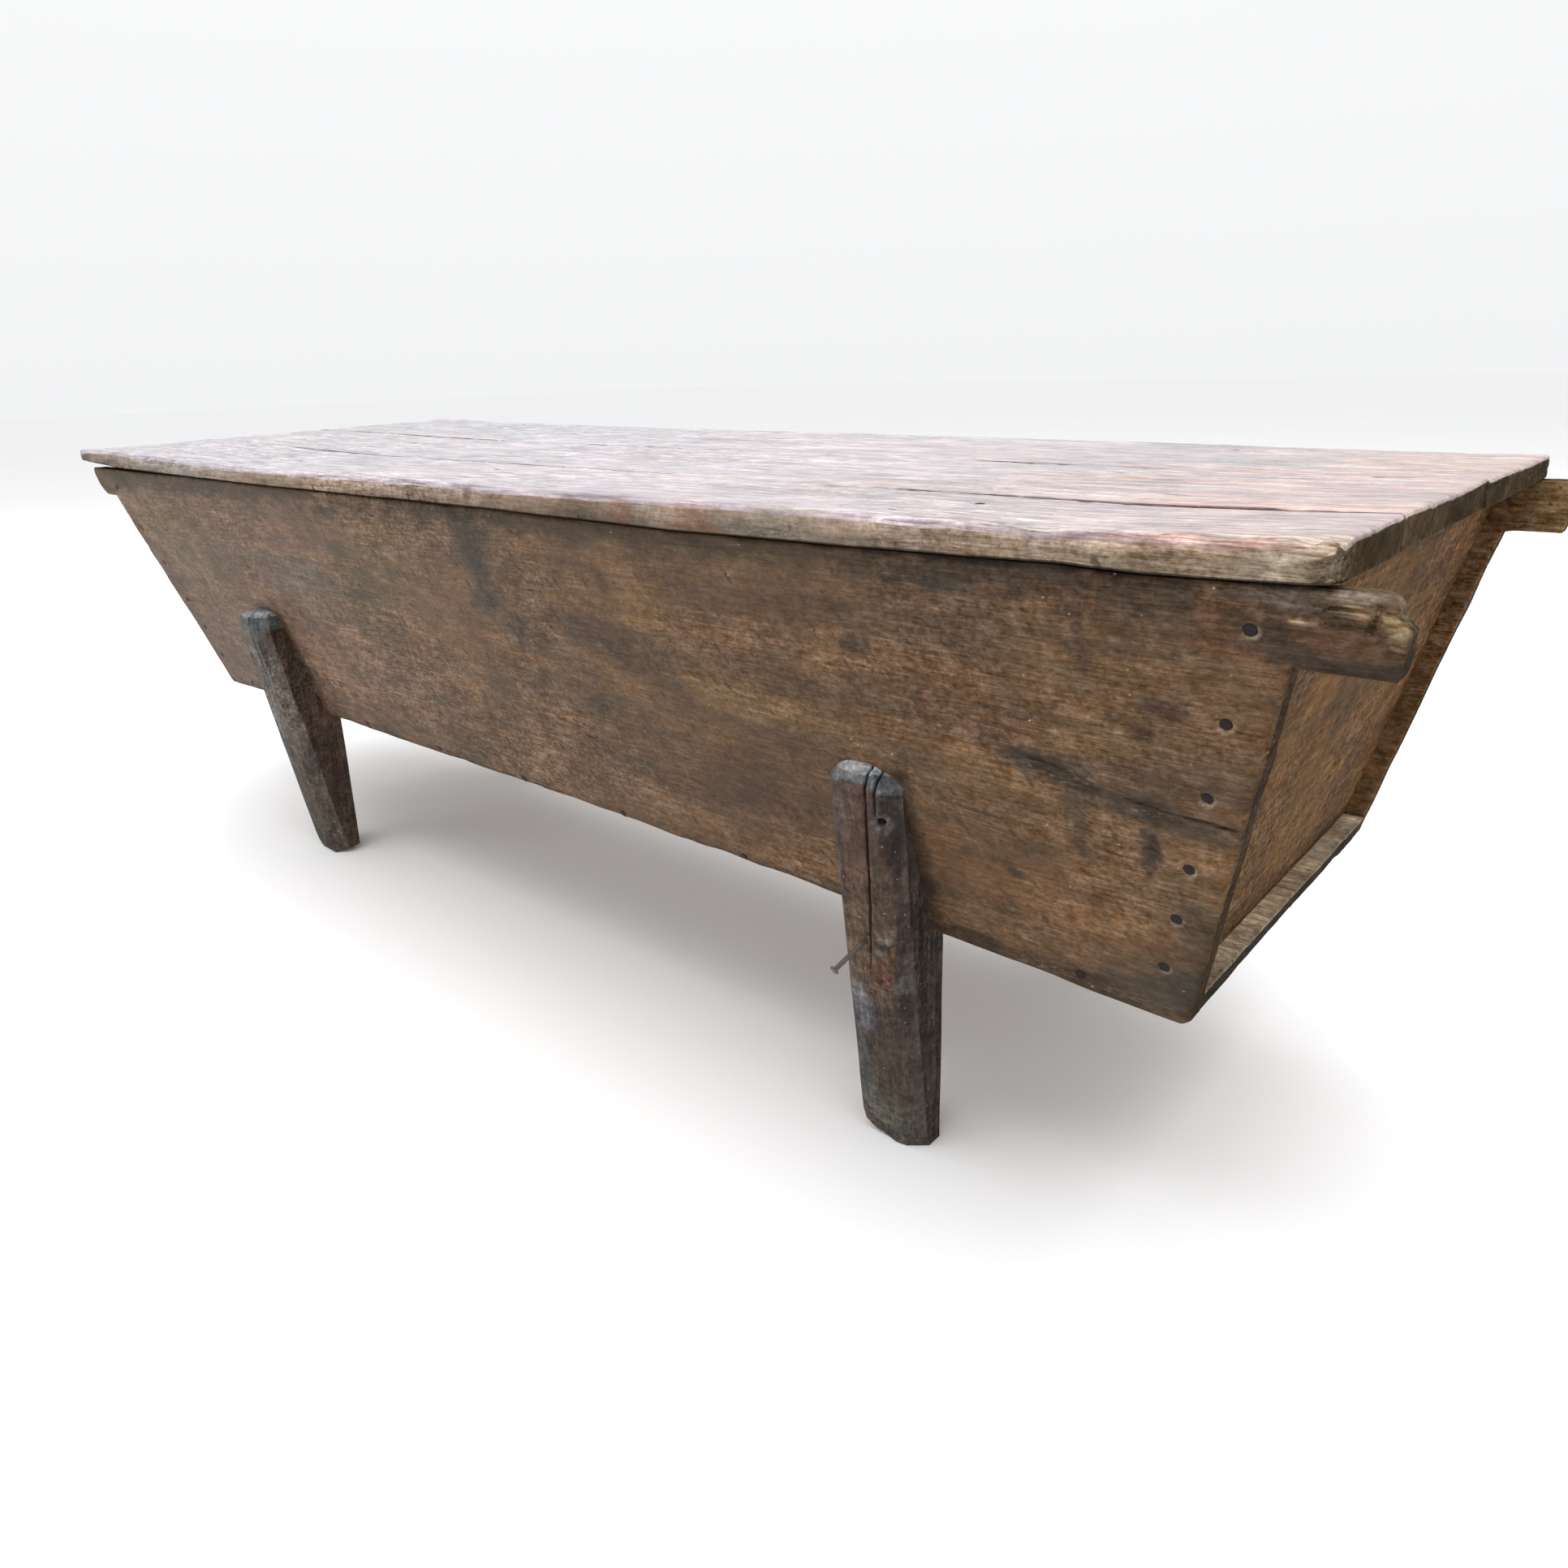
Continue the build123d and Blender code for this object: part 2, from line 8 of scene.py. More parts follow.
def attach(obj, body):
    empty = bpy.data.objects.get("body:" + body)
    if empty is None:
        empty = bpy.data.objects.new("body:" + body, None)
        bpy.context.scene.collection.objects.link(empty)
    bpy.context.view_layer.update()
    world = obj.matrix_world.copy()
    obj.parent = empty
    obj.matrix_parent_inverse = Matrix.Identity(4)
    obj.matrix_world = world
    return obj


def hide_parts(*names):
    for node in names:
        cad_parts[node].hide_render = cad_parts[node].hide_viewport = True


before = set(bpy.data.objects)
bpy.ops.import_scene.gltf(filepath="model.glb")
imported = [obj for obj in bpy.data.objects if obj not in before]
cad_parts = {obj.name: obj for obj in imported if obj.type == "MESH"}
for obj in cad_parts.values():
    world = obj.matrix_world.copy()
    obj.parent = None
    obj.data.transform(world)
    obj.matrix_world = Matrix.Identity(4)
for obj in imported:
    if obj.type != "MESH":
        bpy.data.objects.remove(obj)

for leftOver in ("Cube", "Light", "Camera"):
    if leftOver in bpy.data.objects:
        bpy.data.objects.remove(bpy.data.objects[leftOver])
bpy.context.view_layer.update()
scene = bpy.context.scene
scene.view_settings.view_transform = "Standard"

# Lengths are in millimetres from the middle of the trough, and colours are 0 to 255, as on a screen.
box = {
    "middleX": 18.831,
    "middleY": -5.775,
    "floor": 228.0,
    "top": 586.0,
    "bottomHalf": 822.0,
    "faceAtFloor": 230.0,
    "rake": math.tan(math.radians(13)),
    "splay": math.tan(math.radians(17)),
    "sideAcross": 23.0,
    "endAcross": 20.53,
    "endSetback": 18.0,
    "bottomThickness": 21.0,
}
rim = box["top"]


def boardEnd(z):
    return box["bottomHalf"] + (z - box["floor"]) * box["rake"]


def outerFace(z):
    return box["faceAtFloor"] + (z - box["floor"]) * box["splay"]


def tone(red, green, blue):
    screen = np.array([red, green, blue]) / 255.0
    return np.where(screen < 0.04045, screen / 12.92, ((screen + 0.055) / 1.055) ** 2.4)


def paint(red, green, blue):
    return (*[float(v) for v in tone(red, green, blue)], 1.0)


def belowRim(marks):
    return [(u, rim - depth, *rest) for u, depth, *rest in marks]


# Camera
lookout = {
    "place": (1096.83, -978.475, 710.9),
    "turn": 0.7296,
    "tip": -0.3025,
    "roll": -0.031,
    "lens": 25.448,
    "shift": (0.00575, -0.04705),
}


def setCamera():
    turn, tip, roll = lookout["turn"], lookout["tip"], lookout["roll"]
    ahead = Vector((-math.sin(turn) * math.cos(tip), math.cos(turn) * math.cos(tip), math.sin(tip)))
    right = ahead.cross(Vector((0, 0, 1))).normalized()
    up = right.cross(ahead)
    across = math.cos(roll) * right + math.sin(roll) * up
    upward = -math.sin(roll) * right + math.cos(roll) * up
    data = bpy.data.cameras.new("viewpoint")
    data.lens = lookout["lens"]
    data.sensor_width = 36.0
    data.shift_x, data.shift_y = lookout["shift"]
    data.clip_end = 200.0
    camera = bpy.data.objects.new("viewpoint", data)
    turned = Matrix((across, upward, -ahead)).transposed().to_4x4()
    camera.matrix_world = Matrix.Translation(Vector(lookout["place"]) * 0.001) @ turned
    scene.collection.objects.link(camera)
    scene.camera = camera


setCamera()
print("camera set")


# Noise and small marks, all worked out from seeds
def ripple(a, b, stepA, stepB, seed):
    table = np.random.default_rng(seed).uniform(-1, 1, (61, 61))
    a = np.asarray(a, float) / stepA + 610.37
    b = np.asarray(b, float) / stepB + 610.71
    i, j = np.floor(a).astype(int), np.floor(b).astype(int)
    fa, fb = a - i, b - j
    fa, fb = fa * fa * (3 - 2 * fa), fb * fb * (3 - 2 * fb)
    i0, i1, j0, j1 = i % 61, (i + 1) % 61, j % 61, (j + 1) % 61
    low = table[i0, j0] * (1 - fa) + table[i1, j0] * fa
    high = table[i0, j1] * (1 - fa) + table[i1, j1] * fa
    return low * (1 - fb) + high * fb


def easing(value):
    value = np.clip(value, 0, 1)
    return value * value * (3 - 2 * value)


def edgeDrop(d, radius):
    near = np.minimum(d, radius)
    return radius - np.sqrt(np.maximum(radius**2 - (radius - near) ** 2, 0))


def dents(u, v, marks):
    depth = np.zeros_like(u)
    for mu, mv, ru, rv, turn, deep in marks:
        c, s = math.cos(math.radians(turn)), math.sin(math.radians(turn))
        du, dv = u - mu, v - mv
        r = np.sqrt(((du * c + dv * s) / ru) ** 2 + ((dv * c - du * s) / rv) ** 2)
        depth = np.maximum(depth, deep * easing(1.25 - r))
    return depth


def sink(u, v, h, spots, level, radius=5.0):
    for su, sv in spots:
        share = easing(1.7 - np.hypot(u - su, v - sv) / radius)
        h = h * (1 - share) + level * share
    return h


def groove(u, v, line, width, deep, seed):
    us, vs = zip(*line)
    centre = np.interp(u, us, vs) + width * ripple(u, 0 * u, 16, 50, seed)
    reach = np.clip(np.minimum(u - us[0], us[-1] - u) / 25, 0, 1)
    uneven = np.clip(0.7 + 0.6 * ripple(u, 0 * u, 11, 50, seed + 1), 0.15, 1.2)
    return deep * reach * uneven * np.exp(-(((v - centre) / width) ** 2))


def deepest(u, v, cracks, seed):
    deep = np.zeros_like(u)
    for line, width, depth in cracks:
        deep = np.maximum(deep, groove(u, v, line, width, depth, seed))
    return deep


def stations(start, end, step, fine=(), keepers=(), rim=(0, 0.8, 2, 4, 7)):
    values = [start + r for r in rim] + [end - r for r in rim]
    inner = np.linspace(start + rim[-1], end - rim[-1], max(2, int((end - start) / step)))
    values += list(inner)
    for centre, half, small in fine:
        values = [v for v in values if abs(v - centre) > half]
        values += list(np.arange(centre - half, centre + half + 0.01, small))
    values = sorted(v for v in values if start <= v <= end)
    kept = [start, end, *keepers]
    for value in values:
        if min(abs(value - k) for k in kept) > 0.55:
            kept.append(value)
    return np.array(sorted(kept))


def grid(columns, rows):
    return np.repeat(columns[:, None], len(rows), 1), np.repeat(rows[None, :], len(columns), 0)


def onSite(x, y, z):
    return np.column_stack([x + box["middleX"], y + box["middleY"], z])


# One worn board: a grid of points in the plane of its face, a front and a back skin, and walls between them
def slab(name, u, v, front, back, place, keep=None, wallRows=4, rough=0.35, crease=38, backSkin=0, seed=1):
    if keep is None:
        keep = np.ones((u.shape[0] - 1, u.shape[1] - 1), bool)
    used = np.zeros(u.shape, bool)
    for di in (0, 1):
        for dj in (0, 1):
            used[di : u.shape[0] - 1 + di, dj : u.shape[1] - 1 + dj] |= keep
    count = int(used.sum())
    number = np.full(u.shape, -1)
    number[used] = np.arange(count)
    a, b = number[:-1, :-1][keep], number[1:, :-1][keep]
    c, d = number[1:, 1:][keep], number[:-1, 1:][keep]
    edges = np.concatenate([np.stack(p, 1) for p in ((a, b), (b, c), (c, d), (d, a))])
    code = edges[:, 0] * count + edges[:, 1]
    rim = edges[~np.isin(code, edges[:, 1] * count + edges[:, 0])]
    us, vs = u[used], v[used]

    tree = kdtree.KDTree(len(rim) * 3)
    for k, (p, q) in enumerate(rim):
        for t in range(3):
            w = t / 3
            spot = (us[p] * (1 - w) + us[q] * w, vs[p] * (1 - w) + vs[q] * w, 0)
            tree.insert(spot, k * 3 + t)
    tree.balance()
    d2 = np.array([tree.find((x, y, 0))[2] for x, y in zip(us, vs)])

    high, frontGrimeAndShade = front(us, vs, d2)
    low, backGrimeAndShade = back(us, vs, d2)
    rimNodes = np.unique(rim)
    where = np.full(count, -1)
    where[rimNodes] = np.arange(len(rimNodes))
    allU, allV, allH = [us, us], [vs, vs], [high, low]
    for w in np.concatenate([[0.03], np.linspace(0, 1, wallRows)[1:-1], [0.97]]):
        h = high[rimNodes] * (1 - w) + low[rimNodes] * w
        ru, rv = us[rimNodes], vs[rimNodes]
        allU.append(ru + rough * ripple(ru + rv, h, 7, 3, seed))
        allV.append(rv + rough * ripple(ru - rv, h, 7, 3, seed + 1))
        allH.append(h)
    sizes = [count, count] + [len(rimNodes)] * wallRows
    layer = np.concatenate([np.full(n, k) for k, n in zip([0, 2] + [1] * wallRows, sizes)])
    spots = {
        "u": np.concatenate(allU),
        "v": np.concatenate(allV),
        "h": np.concatenate(allH),
        "d": np.concatenate([d2, d2, np.zeros(len(rimNodes) * wallRows)]),
        "grimeAndShade": np.concatenate([frontGrimeAndShade, backGrimeAndShade, np.full(len(rimNodes) * wallRows, 0.15)]),
        "layer": layer,
    }
    faces = [np.stack([a, b, c, d], 1), np.stack([a, d, c, b], 1) + count]
    levels = [rim]
    levels += [2 * count + k * len(rimNodes) + where[rim] for k in range(wallRows)]
    levels += [rim + count]
    for upper, lower in zip(levels, levels[1:]):
        faces.append(np.stack([upper[:, 1], upper[:, 0], lower[:, 0], lower[:, 1]], 1))
    faces = np.concatenate(faces)
    points = place(spots["u"], spots["v"], spots["h"]) * 0.001
    p0, p1, p2, p3 = (points[faces[:, k]] for k in range(4))
    volume = np.einsum("ij,ij->", p0, np.cross(p1, p2)) + np.einsum("ij,ij->", p0, np.cross(p2, p3))
    if volume < 0:
        faces = faces[:, ::-1]
    mesh = bpy.data.meshes.new("worn_" + name)
    mesh.from_pydata(points.tolist(), [], faces.tolist())
    mesh.shade_smooth()
    mesh.set_sharp_from_angle(angle=math.radians(crease))
    skin = np.where((layer[faces] == 1).all(1), 1, np.where((layer[faces] == 2).any(1), backSkin, 0))
    mesh.polygons.foreach_set("material_index", skin.astype(np.int32))
    piece = bpy.data.objects.new("worn_" + name, mesh)
    scene.collection.objects.link(piece)
    return piece, spots


def dress(piece, node, body, slotName, *finishNames):
    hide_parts(node)
    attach(piece, body)
    for finish in finishNames:
        piece.data.materials.append(finishes[finish])


def mixed(colour, shade, share):
    return colour * (1 - share[:, None]) + shade * share[:, None]


def readTint(piece):
    raw = np.empty(len(piece.data.vertices) * 4)
    piece.data.attributes["tint"].data.foreach_get("color", raw)
    return raw.reshape(-1, 4)


def writeTint(piece, raw):
    piece.data.attributes["tint"].data.foreach_set("color", raw.ravel())


# Colour painted on the points of a board: a base that changes along it, then soft-edged stains, among them
# some painted shadows, painted shade and painted highlights
def coat(
    piece,
    spots,
    ground,
    stainsAndShade=(),
    inner=None,
    innerStains=(),
    wall=None,
    wallStains=(),
    crumbs=(),
    rings=(),
    wear=1.0,
    seed=5,
):
    u, v, layer = spots["u"], spots["v"], spots["layer"]
    grainV = v + 1.6 * spots["h"]
    places = [g[0] for g in ground]
    shades = np.array([tone(*g[1]) for g in ground])
    colour = np.stack([np.interp(u, places, shades[:, k]) for k in range(3)], 1)

    def laid(colour, marks, chosen):
        for k, (su, sv, ru, rv, turn, shade, strength) in enumerate(marks):
            c, s = math.cos(math.radians(turn)), math.sin(math.radians(turn))
            du, dv = u - su, v - sv
            du, dv = du * c + dv * s, dv * c - du * s
            r = np.sqrt((du / ru) ** 2 + (dv / rv) ** 2)
            r = r * (1 + 0.3 * ripple(u, grainV, ru * 0.6, rv * 0.6, seed + k))
            r = r + 0.34 * ripple(u, grainV, 17, 8, seed + 200 + k)
            r = r + 0.2 * ripple(u, grainV, 8, 4.5, seed + 300 + k)
            colour = mixed(colour, tone(*shade), strength * easing(1.5 - 1.1 * r) * chosen)
        return colour

    colour = laid(colour, stainsAndShade, layer < 2)
    # a pale crescent on the lower right of each nail's dent: a painted highlight on the dent's rim
    for su, sv in rings:
        du, dv = u - su, v - sv
        r = np.hypot(du, dv) + 0.01
        lip = 0.85 * np.exp(-(((r - 5.4) / 1.1) ** 2)) * easing(0.35 + (0.5 * du - 0.9 * dv) / r)
        colour = mixed(colour, tone(158, 150, 142), lip * (layer < 2))
    for skin, shade, marks in ((2, inner, innerStains), (1, wall, wallStains)):
        if shade is not None:
            chosen = layer == skin
            colour = laid(np.where(chosen[:, None], tone(*shade), colour), marks, chosen.astype(float))
    loose = np.zeros(len(u))
    for cu, cv, ru, rv, strength in crumbs:
        r = np.sqrt(((u - cu) / ru) ** 2 + ((v - cv) / rv) ** 2) + 0.25 * ripple(u, v, 9, 5, seed + 400)
        loose = np.maximum(loose, strength * easing(1.5 - 1.2 * r) * (layer < 2))
    worn = wear * np.exp(-spots["d"] / 3.5) * (0.65 + 0.6 * ripple(u, v, 14, 9, seed + 90)) * (layer == 0)
    amounts = {
        "crumble": loose,
        "wear": np.clip(worn, 0, 1),
        "dull": np.where(layer == 2, 1.0, np.exp(-spots["d"] / 5)),
        "grimeAndShade": np.clip(spots["grimeAndShade"], 0, 1),
    }
    for name, amount in amounts.items():
        piece.data.attributes.new(name, "FLOAT", "POINT").data.foreach_set("value", amount)
    piece.data.attributes.new("tint", "FLOAT_COLOR", "POINT")
    writeTint(piece, np.column_stack([colour, np.ones(len(u))]))


# Node helpers
class Bench:
    def __init__(self, name):
        self.material = bpy.data.materials.new(name)
        self.material.use_nodes = True
        self.tree = self.material.node_tree
        self.shader = self.tree.nodes["Principled BSDF"]

    def fill(self, sockets, values):
        for key, value in values.items():
            if isinstance(value, bpy.types.NodeSocket):
                self.tree.links.new(value, sockets[key])
            else:
                sockets[key].default_value = value

    def node(self, kind, values={}, **settings):
        made = self.tree.nodes.new(kind)
        for key, value in settings.items():
            setattr(made, key, value)
        self.fill(made.inputs, values)
        return made

    def sums(self, how, first, second):
        return self.node("ShaderNodeMath", {0: first, 1: second}, operation=how).outputs[0]

    def times(self, first, second):
        return self.sums("MULTIPLY", first, second)

    def plus(self, first, second):
        return self.sums("ADD", first, second)

    def vectors(self, how, first, second):
        return self.node("ShaderNodeVectorMath", {0: first, 1: second}, operation=how).outputs[0]

    def scaled(self, colour, amount):
        return self.node("ShaderNodeVectorMath", {0: colour, "Scale": amount}, operation="SCALE").outputs[0]

    def stretch(self, vector, scale, turn=(0, 0, 0), shift=(0, 0, 0)):
        turn = [math.radians(t) for t in turn]
        values = {"Vector": vector, "Location": shift, "Rotation": turn, "Scale": scale}
        return self.node("ShaderNodeMapping", values).outputs[0]

    def noise(self, vector, detail=3.0, rough=0.55, twist=0.0):
        values = {"Vector": vector, "Scale": 1.0, "Detail": detail, "Roughness": rough, "Distortion": twist}
        return self.node("ShaderNodeTexNoise", values).outputs["Fac"]

    def between(self, value, low, high, outLow=0.0, outHigh=1.0):
        values = {"Value": value, "From Min": low, "From Max": high, "To Min": outLow, "To Max": outHigh}
        return self.node("ShaderNodeMapRange", values).outputs[0]

    def blend(self, amount, first, second, how="MIX"):
        values = {0: amount, 6: first, 7: second}
        return self.node("ShaderNodeMix", values, data_type="RGBA", blend_type=how).outputs[2]

    def painted(self, name, output="Fac"):
        return self.node("ShaderNodeAttribute", attribute_name=name).outputs[output]

    def done(self, values, height, strength, distance):
        bump = self.node("ShaderNodeBump", {"Strength": strength, "Distance": distance, "Height": height})
        self.fill(self.shader.inputs, {**values, "Normal": bump.outputs[0]})
        return self.material


# Old wood: the painted tint, crossed by bands, fibres, grime and painted shade, dents, scratches and worn
# arrises
def oldWood(name, look):
    b = Bench(name)
    where = b.node("ShaderNodeTexCoord").outputs["Object"]

    def grained(alongScale, acrossScale, shift, **kind):
        scale = [alongScale if axis == look["grain"] else acrossScale for axis in "xyz"]
        return b.noise(b.stretch(where, scale, shift=(shift, shift * 0.7, shift * 1.3)), **kind)

    def cloudy(scale, shift, **kind):
        return b.noise(b.stretch(where, scale, shift=shift), **kind)

    def spread(value, key, low=0.3, high=0.7):
        return b.between(value, low, high, 1 - look[key], 1 + look[key])

    bands = grained(1.3, 22, 0.0, detail=4, twist=0.7)
    streaks = grained(9, 160, 3.1, detail=6, rough=0.68, twist=0.15)
    threads = grained(26, 420, 9.2, detail=4, rough=0.65)
    fibres = grained(40, 1100, 5.7, detail=3, rough=0.6)
    mottle = cloudy((20, 38, 38), (1.3, 6.1, 2.9), detail=8, rough=0.75, twist=0.25)
    blotch = cloudy((7, 11, 11), (look["shift"], 0, 0), detail=6, rough=0.62, twist=0.3)
    fine = cloudy((60, 85, 85), (0, 0, 0), detail=5, rough=0.7)
    grit = cloudy((190, 260, 260), (7.7, 3.3, 1.1), detail=4, rough=0.7)

    banding = b.blend(b.between(bands, 0.33, 0.67), look["coolBand"], look["warmBand"])
    mottling = b.blend(b.between(mottle, 0.36, 0.64), look["coolMottle"], look["warmMottle"])
    colour = b.blend(0.8, b.painted("tint", "Color"), banding, "MULTIPLY")
    colour = b.blend(1.0, colour, mottling, "MULTIPLY")
    colour = b.blend(1.0, colour, look["oil"], "MULTIPLY")
    colour = b.scaled(colour, b.times(spread(streaks, "streaks"), spread(blotch, "blotches")))

    # the fine texture is greyer than the wood under it, and hands have rubbed some places smooth
    hair = b.times(spread(fibres, "fibres", 0.25, 0.75), spread(fine, "speckle"))
    texture = b.times(hair, b.times(spread(threads, "threads"), spread(grit, "grit")))
    rubbed = b.between(cloudy((3.4, 6, 6), (5.2, 0.8, 3.6), detail=3, twist=0.4), 0.38, 0.62, 0.55, 1.3)
    texture = b.times(b.sums("SUBTRACT", texture, 1.0), rubbed)
    dusty = b.node("ShaderNodeHueSaturation", {"Saturation": 0.6, "Color": colour}).outputs[0]
    colour = b.vectors("ADD", colour, b.scaled(dusty, texture))
    colour = b.vectors("MAXIMUM", colour, (0.004, 0.004, 0.004))

    # grime that settled in uneven patches
    settled = cloudy((3.1, 5, 5), (4.4, 1.0, 2.0), detail=7, rough=0.66, twist=0.8)
    settled = b.between(settled, 0.5, 0.72, 0.0, look["grimeAmount"])
    colour = b.blend(settled, colour, look["grimeColour"], "MULTIPLY")

    # short dark dents and slits, most of them leaning one way
    def slits(size, lean, cut, shift, share):
        turned = b.stretch(where, (1, 1, 1), lean, shift)
        sockets = {"Vector": b.stretch(turned, size), "Scale": 1.0}
        cells = b.node("ShaderNodeTexVoronoi", sockets, feature="F1")
        picked = b.node("ShaderNodeSeparateColor", {0: cells.outputs["Color"]}).outputs[0]
        near = b.between(cells.outputs["Distance"], cut, cut * 0.5)
        return b.times(near, b.sums("LESS_THAN", picked, share))

    marks = slits(look["slitSize"], look["slitLean"], 0.3, (0.3, 0.1, 0.6), look["slitShare"])
    pits = slits((70, 90, 90), (20, -14, 30), 0.17, (1.7, 2.1, 0.2), look["slitShare"])
    marks = b.times(b.sums("MAXIMUM", marks, pits), b.between(fine, 0.35, 0.55))
    colour = b.blend(b.times(marks, look["slitDark"]), colour, look["slitColour"])

    # pale flecks of dust and chaff caught in the surface
    flecks = slits((260, 420, 400), (12, 24, 8), 0.36, (3.1, 0.4, 1.9), look["fleckShare"])
    flecks = b.times(flecks, b.between(grit, 0.4, 0.55))
    colour = b.blend(b.times(flecks, 0.75), colour, look["fleckColour"])

    # fine pale scratches
    lines = b.noise(b.stretch(where, look["scratchScale"], look["scratchTurn"]), detail=1)
    scratches = b.between(b.sums("ABSOLUTE", b.sums("SUBTRACT", lines, 0.5), 0.0), 0.006, 0.0)
    scratches = b.times(scratches, b.between(cloudy((9, 9, 9), (2, 5, 8), detail=2), 0.56, 0.66))
    colour = b.blend(b.times(scratches, look["scratches"]), colour, look["scratchColour"])

    # crumbled wood: pale fibres and dark hollows where the surface has broken up
    loose = b.painted("crumble")
    chaff = b.noise(b.stretch(where, (120, 260, 420), look["chaffLean"]), detail=6, rough=0.75, twist=0.15)
    pale = b.times(loose, b.between(chaff, 0.5, 0.64))
    hollow = b.times(loose, b.between(chaff, 0.45, 0.36))
    colour = b.blend(b.times(pale, 0.7), colour, paint(182, 166, 142))
    colour = b.blend(b.times(hollow, 0.75), colour, paint(66, 54, 46))

    # worn arrises, and dirt in the cracks and joints; the same mask also carries the painted shadow under the
    # lid's rim
    worn = b.times(b.painted("wear"), b.between(fine, 0.3, 0.6, 0.3, 1.2))
    colour = b.blend(b.times(worn, look["wear"]), colour, look["wearColour"])
    dirtAndShade = b.painted("grimeAndShade")
    colour = b.blend(dirtAndShade, colour, look["grimeAndShadeColour"])

    rough = b.between(b.plus(b.times(streaks, 0.5), b.times(blotch, 0.5)), 0.35, 0.65, *look["roughness"])
    matt = b.sums("MAXIMUM", b.painted("dull"), dirtAndShade)
    height = b.plus(b.times(fibres, 0.35), b.times(streaks, 0.8))
    height = b.plus(height, b.plus(b.times(threads, 0.7), b.times(grit, 0.3)))
    height = b.plus(height, b.times(fine, 0.45))
    height = b.sums("SUBTRACT", height, b.times(marks, 1.2))
    height = b.plus(height, b.times(b.times(loose, chaff), 2.5))
    height = b.sums("SUBTRACT", height, b.times(scratches, 0.4))
    values = {
        "Base Color": colour,
        "Roughness": rough,
        "Specular IOR Level": b.between(matt, 0, 1, look["shine"], 0.0),
        "Sheen Weight": look["bloom"],
        "Sheen Roughness": 0.45,
    }
    return b.done(values, height, 0.7, 0.0009)


plainLook = {
    "grain": "x",
    "oil": (0.7, 0.605, 0.465, 1),
    "coolBand": (0.86, 0.9, 0.93, 1),
    "warmBand": (1.14, 1.06, 0.98, 1),
    "coolMottle": (0.76, 0.78, 0.79, 1),
    "warmMottle": (1.22, 1.2, 1.19, 1),
    "streaks": 0.28,
    "threads": 0.3,
    "fibres": 0.24,
    "blotches": 0.37,
    "speckle": 0.33,
    "grit": 0.44,
    "shift": 0.0,
    "grimeAmount": 0.55,
    "grimeColour": (0.5, 0.48, 0.46, 1),
    "slitSize": (95, 40, 38),
    "slitLean": (0, 30, 0),
    "slitShare": 0.36,
    "slitDark": 0.75,
    "slitColour": paint(56, 43, 34),
    "fleckShare": 0.006,
    "fleckColour": paint(168, 156, 138),
    "scratchScale": (18, 240, 240),
    "scratchTurn": (0, 24, 0),
    "scratches": 0.35,
    "scratchColour": paint(165, 148, 130),
    "chaffLean": (0, 0, 0),
    "wear": 0.4,
    "wearColour": paint(66, 54, 45),
    "grimeAndShadeColour": paint(24, 19, 17),
    "roughness": (0.55, 0.78),
    "shine": 0.22,
    "bloom": 0.0,
}
lidLook = {
    "oil": (0.86, 0.9, 0.9, 1),
    "coolBand": (0.87, 0.9, 0.96, 1),
    "warmBand": (1.11, 1.03, 0.99, 1),
    "coolMottle": (0.83, 0.84, 0.88, 1),
    "warmMottle": (1.21, 1.14, 1.08, 1),
    "streaks": 0.62,
    "threads": 0.58,
    "fibres": 0.2,
    "blotches": 0.2,
    "speckle": 0.24,
    "grit": 0.2,
    "grimeAmount": 0.3,
    "grimeColour": (0.8, 0.76, 0.76, 1),
    "slitSize": (16, 95, 60),
    "slitLean": (0, 0, 8),
    "slitShare": 0.26,
    "slitDark": 0.7,
    "slitColour": paint(88, 72, 72),
    "fleckShare": 0.008,
    "fleckColour": paint(206, 198, 190),
    "scratchTurn": (0, 0, 14),
    "scratches": 0.25,
    "scratchColour": paint(190, 180, 180),
    "chaffLean": (0, 0, 8),
    "wear": 0.3,
    "wearColour": paint(178, 150, 158),
    "grimeAndShadeColour": paint(38, 30, 26),
    "roughness": (0.34, 0.56),
    "shine": 0.6,
    "bloom": 0.2,  # dry, dusty fibres that catch the sky at a low angle
}
undersideLook = {
    "oil": (0.89, 0.95, 0.94, 1),
    "streaks": 0.4,
    "threads": 0.34,
    "blotches": 0.24,
    "slitShare": 0.1,
    "grimeAndShadeColour": paint(38, 30, 26),
    "shine": 0.1,
}
endLook = {
    "grain": "y",
    "oil": (0.74, 0.645, 0.405, 1),
    "streaks": 0.4,
    "blotches": 0.34,
    "speckle": 0.46,
    "grit": 0.6,
    "shift": 2.0,
    "slitSize": (40, 95, 38),
    "slitShare": 0.1,
    "scratchScale": (60, 16, 130),
    "scratchTurn": (55, 0, 0),
    "scratches": 0.4,
    "roughness": (0.8, 0.95),
    "shine": 0.08,
}
bottomLook = {
    "oil": (1.6, 1.53, 1.45, 1),
    "grimeAmount": 0.4,
    "slitShare": 0.06,
    "roughness": (0.75, 0.95),
    "shine": 0.1,
}
legLook = {
    "grain": "z",
    "oil": (0.8, 0.82, 0.8, 1),
    "coolBand": (0.8, 0.86, 0.94, 1),
    "warmBand": (1.2, 1.06, 0.96, 1),
    "streaks": 0.42,
    "blotches": 0.4,
    "speckle": 0.44,
    "grit": 0.6,
    "shift": 5.0,
    "slitSize": (80, 80, 22),
    "slitLean": (0, 4, 0),
    "slitShare": 0.16,
    "fleckShare": 0.02,
    "scratchTurn": (0, 70, 0),
    "chaffLean": (0, 4, 0),
    "wearColour": paint(112, 106, 104),
    "roughness": (0.62, 0.86),
    "shine": 0.15,
}
